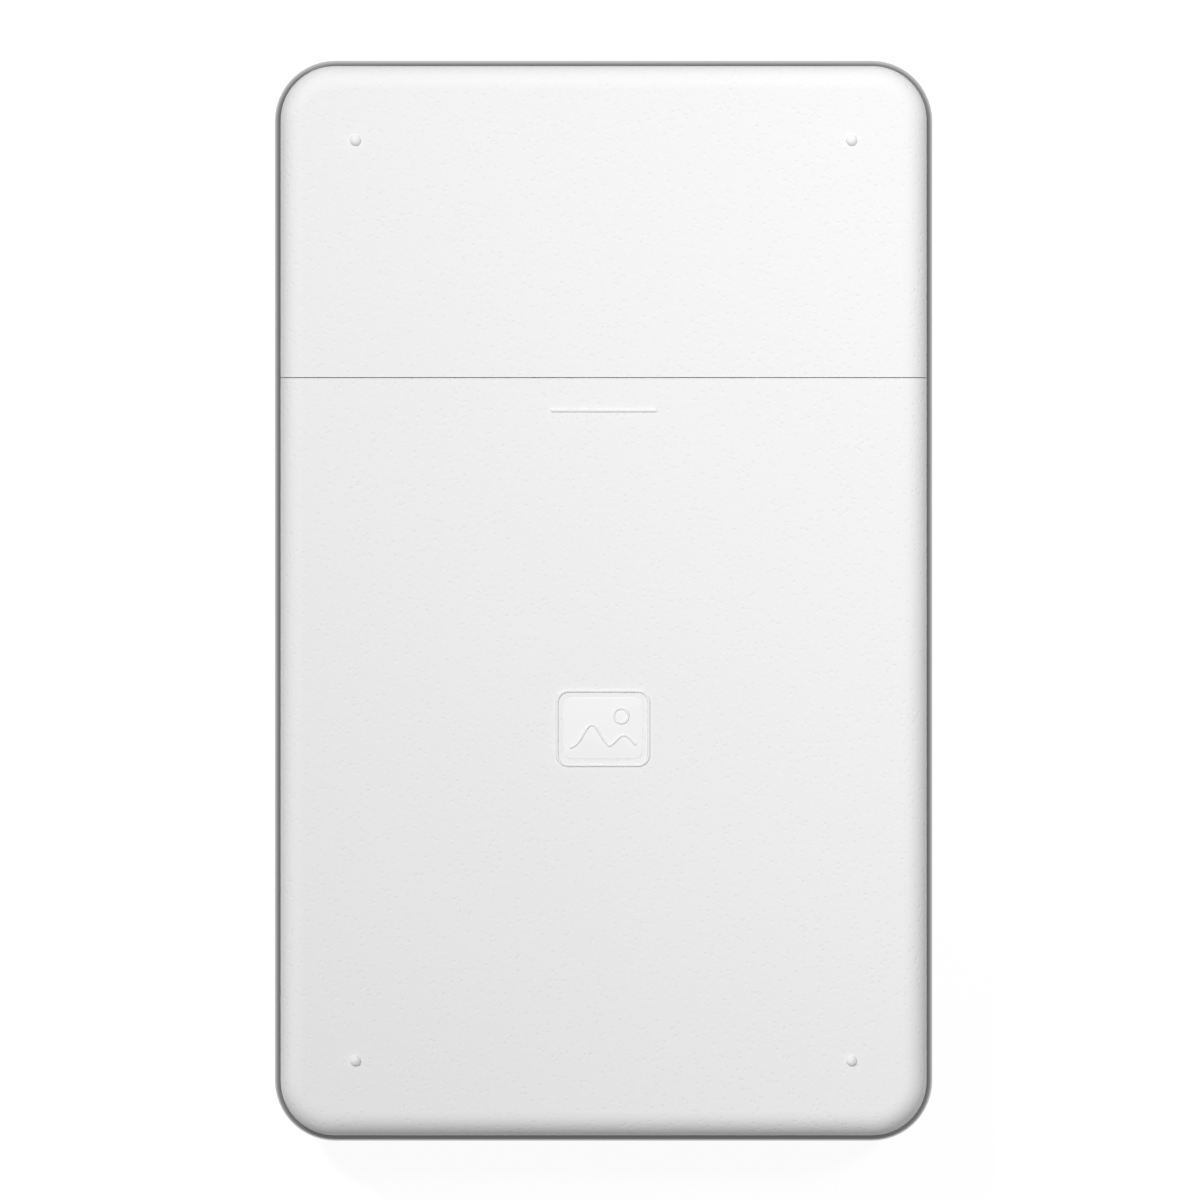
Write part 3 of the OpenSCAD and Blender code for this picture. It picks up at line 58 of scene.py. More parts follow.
print("frame loaded:", len(frame["nodes"]), "nodes")

# camera, straight above the photographed face
cameraValues = {
    "lens": 1000.0,                 # mm, long, because the photograph shows no perspective
    "sensor": 36.0,                 # mm across
    "photoWidth": 1200.0,           # pixels across the square photograph
    "bandLeft": 275.1,              # pixel column of the band's left side
    "bandRight": 932.1,             # pixel column of the band's right side
    "printerCentre": (603.6, 600.7),    # pixel at the middle of the printer
    "clipStart": 0.05,              # m
    "clipEnd": 20.0,
}
low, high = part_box("frame_band")
pixelSize = (high.x - low.x) / (cameraValues["bandRight"] - cameraValues["bandLeft"])   # metres to a pixel


def makeCamera(values, low, high):
    # above the middle of the band, moved by the printer's offset in the photograph, and as far away as the
    # view's width times lens over sensor, so that the picture's pixels are the photograph's
    viewWidth = pixelSize * values["photoWidth"]
    middle = values["photoWidth"] / 2
    data = bpy.data.cameras.new("photoCamera")
    data.lens = values["lens"]
    data.sensor_width = values["sensor"]
    data.clip_start = values["clipStart"]
    data.clip_end = values["clipEnd"]
    camera = bpy.data.objects.new("photoCamera", data)
    scene.collection.objects.link(camera)
    camera.location = (
        (low.x + high.x) / 2 - (values["printerCentre"][0] - middle) * pixelSize,
        (low.y + high.y) / 2 + (values["printerCentre"][1] - middle) * pixelSize,
        (low.z + high.z) / 2 + viewWidth * values["lens"] / values["sensor"],
    )
    scene.camera = camera


makeCamera(cameraValues, low, high)
print("camera placed")

# soft studio light
lightValues = {
    "ambient": 0.206,               # world strength that falls on the printer from above and around
    "ambientFar": -0.107,           # change of it towards the top of the photograph, opposite at the foot
    "ambientRight": -0.115,         # change of it towards the right, opposite at the left
    "below": 0.45,                  # added below the horizon, where only the printer's underside sees it
    "white": 1.0,                   # what the camera sees behind everything
    "ceiling": 0.2,                 # what a reflection sees straight above
    "ceilingFrom": 0.1,             # sine of the height at which the walls begin to darken,
    "ceilingFull": 0.95,            # and at which they have become the ceiling
    "farWall": 1.05,                # what a reflection sees low down at the top of the photograph
    "nearWall": 0.22,               # and at its foot
}

# a far spot aimed past the printer's upper right: the soft edge of its cone darkens the lower left
overheadValues = {
    "power": 31.6,                  # W
    "radius": 0.1,                  # m
    "at": (0.524, 0.271, 1.005),
    "aim": (0.147, 0.163, 0.0),
    "cone": 37.9,                   # degrees
    "softEdge": 1.0,
}

# a soft sun from the top left of the photograph
slantValues = {
    "power": 1.73,                  # W/m2
    "across": 7.0,                  # degrees, which softens its shadows
    "at": (-0.228, 0.25, 0.433),
    "aim": (0.0, 0.0, 0.0),
}


def aimAt(thing, target):
    # turns the thing so that its -Z points at the target
    thing.rotation_euler = (Vector(target) - thing.location).to_track_quat("-Z", "Y").to_euler()


def makeLamp(name, kind, values, **settings):
    # a lamp at its place, turned towards its aim, that reflections don't show
    data = bpy.data.lights.new(name, kind)
    data.energy = values["power"]
    for key, value in settings.items():
        setattr(data, key, value)
    lamp = bpy.data.objects.new(name, data)
    scene.collection.objects.link(lamp)
    lamp.location = values["at"]
    lamp.visible_glossy = False
    aimAt(lamp, values["aim"])


def put(tree, kind, inputs=None, **settings):
    # one node, with its settings and its unlinked inputs
    node = tree.nodes.new(kind)
    for key, value in settings.items():
        setattr(node, key, value)
    for key, value in (inputs or {}).items():
        node.inputs[key].default_value = value
    return node


def wire(tree, start, end):
    # one link between two sockets
    tree.links.new(start, end)


def sums(tree, operation, first, second=0.0, third=None, clamp=False):
    # one Math node whose inputs are numbers or sockets
    node = tree.nodes.new("ShaderNodeMath")
    node.operation = operation
    node.use_clamp = clamp
    for place, value in enumerate((first, second, third)):
        if value is None:
            continue
        if isinstance(value, (int, float)):
            node.inputs[place].default_value = value
        else:
            tree.links.new(value, node.inputs[place])
    return node.outputs[0]


def span(tree, value, fromMin, fromMax, toMin=0.0, toMax=1.0):
    # a straight map from one range to another, held at its ends
    node = put(tree, "ShaderNodeMapRange",
               {"From Min": fromMin, "From Max": fromMax, "To Min": toMin, "To Max": toMax})
    tree.links.new(value, node.inputs["Value"])
    return node.outputs["Result"]


def mirrorRays(tree):
    # 1 for glossy and transmitted rays
    path = tree.nodes.new("ShaderNodeLightPath")
    return sums(tree, "MAXIMUM", path.outputs["Is Glossy Ray"], path.outputs["Is Transmission Ray"])


def cameraRays(tree):
    # 1 for rays that come straight from the camera
    return tree.nodes.new("ShaderNodeLightPath").outputs["Is Camera Ray"]


def makeWorld(values):
    # white to the camera; to reflections, pale walls that darken up to the ceiling; to everything else an
    # ambient light that leans in X and Y and is stronger below the horizon
    world = bpy.data.worlds.new("paleRoom")
    world.use_nodes = True
    scene.world = world
    tree = world.node_tree
    direction = put(tree, "ShaderNodeSeparateXYZ")
    wire(tree, put(tree, "ShaderNodeTexCoord").outputs["Generated"], direction.inputs[0])
    wall = span(tree, direction.outputs["Y"], -1.0, 1.0, values["nearWall"], values["farWall"])
    upward = span(tree, direction.outputs["Z"], values["ceilingFrom"], values["ceilingFull"])
    fall = sums(tree, "MULTIPLY", upward, sums(tree, "SUBTRACT", values["ceiling"], wall))
    room = sums(tree, "ADD", wall, fall)
    ambient = sums(tree, "MULTIPLY_ADD", direction.outputs["Y"], values["ambientFar"], values["ambient"])
    ambient = sums(tree, "MULTIPLY_ADD", direction.outputs["X"], values["ambientRight"], ambient)
    downward = sums(tree, "LESS_THAN", direction.outputs["Z"], 0.0)
    ambient = sums(tree, "MULTIPLY_ADD", downward, values["below"], ambient)
    strength = sums(tree, "MULTIPLY", mirrorRays(tree), sums(tree, "SUBTRACT", room, ambient))
    strength = sums(tree, "ADD", strength, ambient)
    strength = sums(tree, "MAXIMUM", strength, sums(tree, "MULTIPLY", cameraRays(tree), values["white"]))
    wire(tree, strength, tree.nodes["Background"].inputs["Strength"])
    tree.nodes["Background"].inputs["Color"].default_value = (1.0, 1.0, 1.0, 1.0)


makeWorld(lightValues)
makeLamp("overheadLamp", "SPOT", overheadValues, shadow_soft_size=overheadValues["radius"],
         spot_size=math.radians(overheadValues["cone"]), spot_blend=overheadValues["softEdge"])
makeLamp("slantLamp", "SUN", slantValues, angle=math.radians(slantValues["across"]))
print("lamps and world made")


def roundedOutline(width, tall, corner, steps=10):
    # a rectangle whose corners are quarter circles, anticlockwise from the right side's top corner
    turn = np.linspace(0, math.pi / 2, steps)
    middles = [(width / 2 - corner, tall / 2 - corner), (corner - width / 2, tall / 2 - corner),
               (corner - width / 2, corner - tall / 2), (width / 2 - corner, corner - tall / 2)]
    arcs = []
    for quarter, (x, y) in enumerate(middles):
        angle = turn + quarter * math.pi / 2
        arcs.append(np.stack([x + corner * np.cos(angle), y + corner * np.sin(angle)], axis=1))
    return np.concatenate(arcs)


def gridFaces(rows, columns, closeRows, closeColumns):
    # quads between neighbouring points of a grid, wrapped round where a direction closes
    rowStart = np.arange(rows if closeRows else rows - 1)
    columnStart = np.arange(columns if closeColumns else columns - 1)
    r, c = np.meshgrid(rowStart, columnStart, indexing="ij")
    nextRow = (r + 1) % rows
    nextColumn = (c + 1) % columns
    corners = [(r, c), (nextRow, c), (nextRow, nextColumn), (r, nextColumn)]
    return np.stack([(row * columns + column).ravel() for row, column in corners], axis=1)


floorValues = {
    "width": 6.0,                   # m
    "corner": 0.5,                  # radius of the sheet's own corners
    "inset": 1.8 * mm,              # from the lower shell's side to the opening under its flat bottom
    "openingCorner": 4.5 * mm,
    "paint": 0.29,                  # colour that lights the printer from below
    "shadowShare": 0.12,            # how much of the seen floor is real light, which keeps the shadow
    "glow": 0.93,                   # the rest, which brings the floor up to white
}


def makeFloor(values):
    # a ring of quads between the opening under the printer and the sheet's edge; its back lets everything
    # through, so that the printer is also seen and lit from below
    low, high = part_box("bottom_shell")
    width = high.x - low.x - 2 * values["inset"]
    tall = high.y - low.y - 2 * values["inset"]
    opening = roundedOutline(width, tall, values["openingCorner"])
    opening += np.array([(low.x + high.x) / 2, (low.y + high.y) / 2])
    rings = np.stack([opening, roundedOutline(values["width"], values["width"], values["corner"])])
    points = np.zeros((rings.shape[0] * rings.shape[1], 3))
    points[:, :2] = rings.reshape(-1, 2)
    mesh = bpy.data.meshes.new("floorSheet")
    mesh.from_pydata(points.tolist(), [], gridFaces(2, rings.shape[1], False, True).tolist())
    floor = bpy.data.objects.new("floorSheet", mesh)
    scene.collection.objects.link(floor)
    material = bpy.data.materials.new("floorPaint")
    material.use_nodes = True
    tree = material.node_tree
    tree.nodes.clear()
    seen = sums(tree, "MAXIMUM", cameraRays(tree), mirrorRays(tree))
    diffuse = put(tree, "ShaderNodeBsdfDiffuse")
    wire(tree, span(tree, seen, 0.0, 1.0, values["paint"], values["shadowShare"]), diffuse.inputs["Color"])
    emission = put(tree, "ShaderNodeEmission")
    wire(tree, sums(tree, "MULTIPLY", seen, values["glow"]), emission.inputs["Strength"])
    both = put(tree, "ShaderNodeAddShader")
    wire(tree, diffuse.outputs[0], both.inputs[0])
    wire(tree, emission.outputs[0], both.inputs[1])
    sided = put(tree, "ShaderNodeMixShader")
    wire(tree, put(tree, "ShaderNodeNewGeometry").outputs["Backfacing"], sided.inputs[0])
    wire(tree, both.outputs[0], sided.inputs[1])
    wire(tree, put(tree, "ShaderNodeBsdfTransparent").outputs[0], sided.inputs[2])
    wire(tree, sided.outputs[0], put(tree, "ShaderNodeOutputMaterial").inputs["Surface"])
    mesh.materials.append(material)


makeFloor(floorValues)
scene.view_settings.view_transform = "Standard"
print("floor laid")


def newGroup(name, inputs, outputs):
    # an empty shader group with float inputs and named outputs
    tree = bpy.data.node_groups.new(name, "ShaderNodeTree")
    for label, value in inputs.items():
        socket = tree.interface.new_socket(name=label, in_out="INPUT", socket_type="NodeSocketFloat")
        socket.default_value = value
    for label, kind in outputs.items():
        tree.interface.new_socket(name=label, in_out="OUTPUT", socket_type=kind)
    start = tree.nodes.new("NodeGroupInput")
    end = tree.nodes.new("NodeGroupOutput")
    return tree, start.outputs, end.inputs


def placeGroup(tree, group, **values):
    # one group node with its inputs set
    node = tree.nodes.new("ShaderNodeGroup")
    node.node_tree = group
    for key, value in values.items():
        node.inputs[key].default_value = value
    return node.outputs


grainValues = {
    "detail": 3.0,
    "roughness": 0.6,
    "pitShare": 0.45,               # pits to each grain, along one axis
    "pitFloor": 0.05,               # radius of a pit's flat bottom, as a share of the pits' spacing
    "pitRim": 0.3,                  # and of its rim
}


def makeGrainGroup(values):
    # moulded grain: fine noise with sparse round pits; Size is the grain's width in metres
    tree, given, out = newGroup("mouldedGrain", {"Size": 0.4 * mm, "Pits": 0.4},
                                {"Height": "NodeSocketFloat", "Tone": "NodeSocketFloat"})
    place = put(tree, "ShaderNodeTexCoord").outputs["Object"]
    scale = sums(tree, "DIVIDE", 1.0, given["Size"])
    noise = put(tree, "ShaderNodeTexNoise", {"Detail": values["detail"], "Roughness": values["roughness"]})
    wire(tree, place, noise.inputs["Vector"])
    wire(tree, scale, noise.inputs["Scale"])
    pits = put(tree, "ShaderNodeTexVoronoi", {"Randomness": 1.0})
    wire(tree, place, pits.inputs["Vector"])
    wire(tree, sums(tree, "MULTIPLY", scale, values["pitShare"]), pits.inputs["Scale"])
    pit = span(tree, pits.outputs["Distance"], values["pitFloor"], values["pitRim"])
    sunk = sums(tree, "MULTIPLY", pit, given["Pits"])
    wire(tree, sums(tree, "ADD", noise.outputs["Fac"], sunk), out["Height"])
    wire(tree, noise.outputs["Fac"], out["Tone"])
    return tree


def makeDriftGroup():
    # slow change over a surface, from -1 to 1; Size is in metres
    tree, given, out = newGroup("slowDrift", {"Size": 0.02}, {"Drift": "NodeSocketFloat"})
    place = put(tree, "ShaderNodeTexCoord").outputs["Object"]
    noise = put(tree, "ShaderNodeTexNoise", {"Detail": 2.0, "Roughness": 0.5})
    wire(tree, place, noise.inputs["Vector"])
    wire(tree, sums(tree, "DIVIDE", 1.0, given["Size"]), noise.inputs["Scale"])
    wire(tree, sums(tree, "MULTIPLY_ADD", noise.outputs["Fac"], 2.0, -1.0), out["Drift"])
    return tree


edgeValues = {
    "samples": 6,
    "straight": 0.995,              # cosine between the softened and the true normal where the paler edge (wear and painted highlight) starts,
    "turned": 0.8,                  # and where it is whole
    "breakScale": 900.0,            # per metre
    "paler": 1.4,                   # paler edge colour, painted highlight together with wear, over the finish's own, where its row names none
}


def makeEdgeGroup(values):
    # edge wear with a painted edge highlight: 1 where the surface turns within Radius, broken up by noise;
    # Normal is the softened edge
    tree, given, out = newGroup("wornEdge", {"Radius": 0.2 * mm, "Breakup": 0.5},
                                {"Edge": "NodeSocketFloat", "Normal": "NodeSocketVector"})
    bevel = put(tree, "ShaderNodeBevel", samples=values["samples"])
    wire(tree, given["Radius"], bevel.inputs["Radius"])
    turn = put(tree, "ShaderNodeVectorMath", operation="DOT_PRODUCT")
    wire(tree, bevel.outputs["Normal"], turn.inputs[0])
    wire(tree, put(tree, "ShaderNodeNewGeometry").outputs["Normal"], turn.inputs[1])
    mask = span(tree, turn.outputs["Value"], values["straight"], values["turned"])
    place = put(tree, "ShaderNodeTexCoord").outputs["Object"]
    noise = put(tree, "ShaderNodeTexNoise", {"Scale": values["breakScale"], "Detail": 2.0})
    wire(tree, place, noise.inputs["Vector"])
    gone = sums(tree, "MULTIPLY", noise.outputs["Fac"], given["Breakup"])
    wire(tree, sums(tree, "SUBTRACT", mask, gone, clamp=True), out["Edge"])
    wire(tree, bevel.outputs["Normal"], out["Normal"])
    return tree


dustValues = {
    "colour": (0.62, 0.6, 0.57),
    "fleckScale": 5200.0,           # per metre
    "patchScale": 160.0,
    "fleckFrom": 0.58,              # noise value where a fleck starts,
    "fleckFull": 0.72,              # and where it is whole
}


def makeDustGroup(values):
    # paper dust: small flecks on faces that look up, more of them in patches
    tree, given, out = newGroup("paperDust", {"Amount": 0.3}, {"Dust": "NodeSocketFloat"})
    place = put(tree, "ShaderNodeTexCoord").outputs["Object"]
    flecks = put(tree, "ShaderNodeTexNoise",
                 {"Scale": values["fleckScale"], "Detail": 2.0, "Roughness": 0.7})
    patches = put(tree, "ShaderNodeTexNoise", {"Scale": values["patchScale"], "Detail": 1.0})
    wire(tree, place, flecks.inputs["Vector"])
    wire(tree, place, patches.inputs["Vector"])
    sharp = span(tree, flecks.outputs["Fac"], values["fleckFrom"], values["fleckFull"])
    split = put(tree, "ShaderNodeSeparateXYZ")
    wire(tree, put(tree, "ShaderNodeNewGeometry").outputs["Normal"], split.inputs[0])
    upward = sums(tree, "MAXIMUM", split.outputs["Z"], 0.0)
    both = sums(tree, "MULTIPLY", sharp, patches.outputs["Fac"])
    lying = sums(tree, "MULTIPLY", both, upward)
    wire(tree, sums(tree, "MULTIPLY", lying, given["Amount"], clamp=True), out["Dust"])
    return tree


def makeLinesGroup():
    # tool lines: noise drawn out along the axes whose scale is small; scales are per metre
    tree, given, out = newGroup("toolLines", {"X Scale": 6000.0, "Y Scale": 100.0, "Z Scale": 100.0},
                                {"Lines": "NodeSocketFloat"})
    place = put(tree, "ShaderNodeTexCoord").outputs["Object"]
    stretch = put(tree, "ShaderNodeCombineXYZ")
    for axis in "XYZ":
        wire(tree, given[axis + " Scale"], stretch.inputs[axis])
    scaled = put(tree, "ShaderNodeVectorMath", operation="MULTIPLY")
    wire(tree, place, scaled.inputs[0])
    wire(tree, stretch.outputs[0], scaled.inputs[1])
    noise = put(tree, "ShaderNodeTexNoise", {"Scale": 1.0, "Detail": 3.0, "Roughness": 0.55})
    wire(tree, scaled.outputs[0], noise.inputs["Vector"])
    wire(tree, noise.outputs["Fac"], out["Lines"])
    return tree


grainGroup = makeGrainGroup(grainValues)
driftGroup = makeDriftGroup()
edgeGroup = makeEdgeGroup(edgeValues)
dustGroup = makeDustGroup(dustValues)
linesGroup = makeLinesGroup()
print("shader groups made")


def mixColour(tree, share, first, second, blend="MIX"):
    # a colour mix whose inputs are colours, numbers or sockets
    node = tree.nodes.new("ShaderNodeMix")
    node.data_type = "RGBA"
    node.blend_type = blend
    for socket, value in zip((node.inputs[0], node.inputs[6], node.inputs[7]), (share, first, second)):
        if isinstance(value, tuple):
            socket.default_value = (*value, 1.0)
        elif isinstance(value, (int, float)):
            socket.default_value = value
        else:
            tree.links.new(value, socket)
    return node.outputs[2]


def startMaterial(name, values):
    # a Principled material whose uniform numbers sit on the shader itself
    material = bpy.data.materials.new(name)
    material.use_nodes = True
    tree = material.node_tree
    shader = tree.nodes["Principled BSDF"]
    shader.inputs["Metallic"].default_value = values.get("metal", 0.0)
    shader.inputs["IOR"].default_value = values.get("index", 1.5)
    shader.inputs["Coat Weight"].default_value = values.get("coat", 0.0)
    shader.inputs["Coat Roughness"].default_value = values.get("coatRough", 0.1)
    shader.inputs["Transmission Weight"].default_value = values.get("clear", 0.0)
    return material, tree, shader


def finishMaterial(tree, shader, values, height=None, pattern=None):
    # colour: the base, with its pattern, times 1 + drift + speckle, then paler edges, part wear and part
    # painted highlight, and dust over it;
    # roughness: its value + drift + speckle; bump: the grain's height + the pattern's
    base = values["colour"]
    if pattern is not None:
        base = mixColour(tree, pattern, values["colour"], values["second"])
    drift = placeGroup(tree, driftGroup, Size=values.get("driftSize", 0.02))["Drift"]
    grain = placeGroup(tree, grainGroup, Size=values.get("grain", 0.4) * mm, Pits=values.get("pits", 0.4))
    tone = sums(tree, "MULTIPLY_ADD", drift, values.get("drift", 0.02), 1.0)
    speckle = sums(tree, "SUBTRACT", grain["Tone"], 0.5)
    tone = sums(tree, "MULTIPLY_ADD", speckle, values.get("speckle", 0.05), tone)
    toned = mixColour(tree, 1.0, base, (1.0, 1.0, 1.0), "MULTIPLY")
    shade = put(tree, "ShaderNodeCombineColor")
    for channel in ("Red", "Green", "Blue"):
        wire(tree, tone, shade.inputs[channel])
    wire(tree, shade.outputs[0], toned.node.inputs[7])
    colour = toned
    # paler edges: a painted highlight where the surface turns, together with wear
    if "edge" in values:
        worn = placeGroup(tree, edgeGroup, Radius=values["edge"] * mm, Breakup=values.get("breakup", 0.5))
        edgeShare = sums(tree, "MULTIPLY", worn["Edge"], values.get("edgeShare", 0.25))
        paler = tuple(min(1.0, edgeValues["paler"] * channel) for channel in values["colour"])
        colour = mixColour(tree, edgeShare, colour, values.get("edgeColour", paler))
    if "dust" in values:
        dust = placeGroup(tree, dustGroup, Amount=values["dust"])["Dust"]
        colour = mixColour(tree, dust, colour, dustValues["colour"])
    wire(tree, colour, shader.inputs["Base Color"])
    rough = sums(tree, "MULTIPLY_ADD", drift, values.get("roughDrift", 0.04), values["rough"])
    rough = sums(tree, "MULTIPLY_ADD", speckle, values.get("roughSpeckle", 0.1), rough, clamp=True)
    wire(tree, rough, shader.inputs["Roughness"])
    bump = put(tree, "ShaderNodeBump", {"Strength": 1.0, "Distance": values.get("depth", 0.01) * mm})
    total = grain["Height"]
    if height is not None:
        total = sums(tree, "MULTIPLY_ADD", height, values.get("patternDepth", 1.0), total)
    wire(tree, total, bump.inputs["Height"])
    if "edge" in values:
        wire(tree, worn["Normal"], bump.inputs["Normal"])
    wire(tree, bump.outputs[0], shader.inputs["Normal"])


def plainFinish(name, values):
    # moulded plastic: grain, drift and soft edges only
    material, tree, shader = startMaterial(name, values)
    finishMaterial(tree, shader, values)
    return material


def linedFinish(name, values):
    # turned, rolled, drawn or ground: lines drawn out along the axes with a small scale
    material, tree, shader = startMaterial(name, values)
    scales = values["lines"]
    stretches = {"X Scale": scales[0], "Y Scale": scales[1], "Z Scale": scales[2]}
    lines = placeGroup(tree, linesGroup, **stretches)["Lines"]
    finishMaterial(tree, shader, values, height=lines, pattern=lines)
    return material


def cellFinish(name, values):
    # granules, crystals or foam cells: closed cells with their own tone
    material, tree, shader = startMaterial(name, values)
    place = put(tree, "ShaderNodeTexCoord").outputs["Object"]
    cells = put(tree, "ShaderNodeTexVoronoi", {"Scale": 1.0 / (values["cell"] * mm)})
    wire(tree, place, cells.inputs["Vector"])
    tint = put(tree, "ShaderNodeSeparateColor")
    wire(tree, cells.outputs["Color"], tint.inputs[0])
    finishMaterial(tree, shader, values, height=cells.outputs["Distance"], pattern=tint.outputs[0])
    return material


def tracksFinish(name, values):
    # circuit tracks: straight-sided cells whose borders read as copper under the lacquer
    material, tree, shader = startMaterial(name, values)
    place = put(tree, "ShaderNodeTexCoord").outputs["Object"]
    scale = {"Scale": 1.0 / (values["cell"] * mm)}
    near = put(tree, "ShaderNodeTexVoronoi", scale, distance="CHEBYCHEV")
    far = put(tree, "ShaderNodeTexVoronoi", scale, distance="CHEBYCHEV", feature="F2")
    wire(tree, place, near.inputs["Vector"])
    wire(tree, place, far.inputs["Vector"])
    gap = sums(tree, "SUBTRACT", far.outputs["Distance"], near.outputs["Distance"])
    track = span(tree, gap, values["trackFrom"], values["trackFull"])
    finishMaterial(tree, shader, values, height=track, pattern=track)
    return material


def stripesFinish(name, values):
    # parallel copper tracks across X, seen through an amber film: a sine of X with steep sides
    material, tree, shader = startMaterial(name, values)
    place = put(tree, "ShaderNodeTexCoord").outputs["Object"]
    across = put(tree, "ShaderNodeSeparateXYZ")
    wire(tree, place, across.inputs[0])
    turn = sums(tree, "MULTIPLY", across.outputs["X"], 2 * math.pi / (values["pitch"] * mm))
    wave = span(tree, sums(tree, "SINE", turn), -values["softness"], values["softness"])
    finishMaterial(tree, shader, values, height=wave, pattern=wave)
    return material


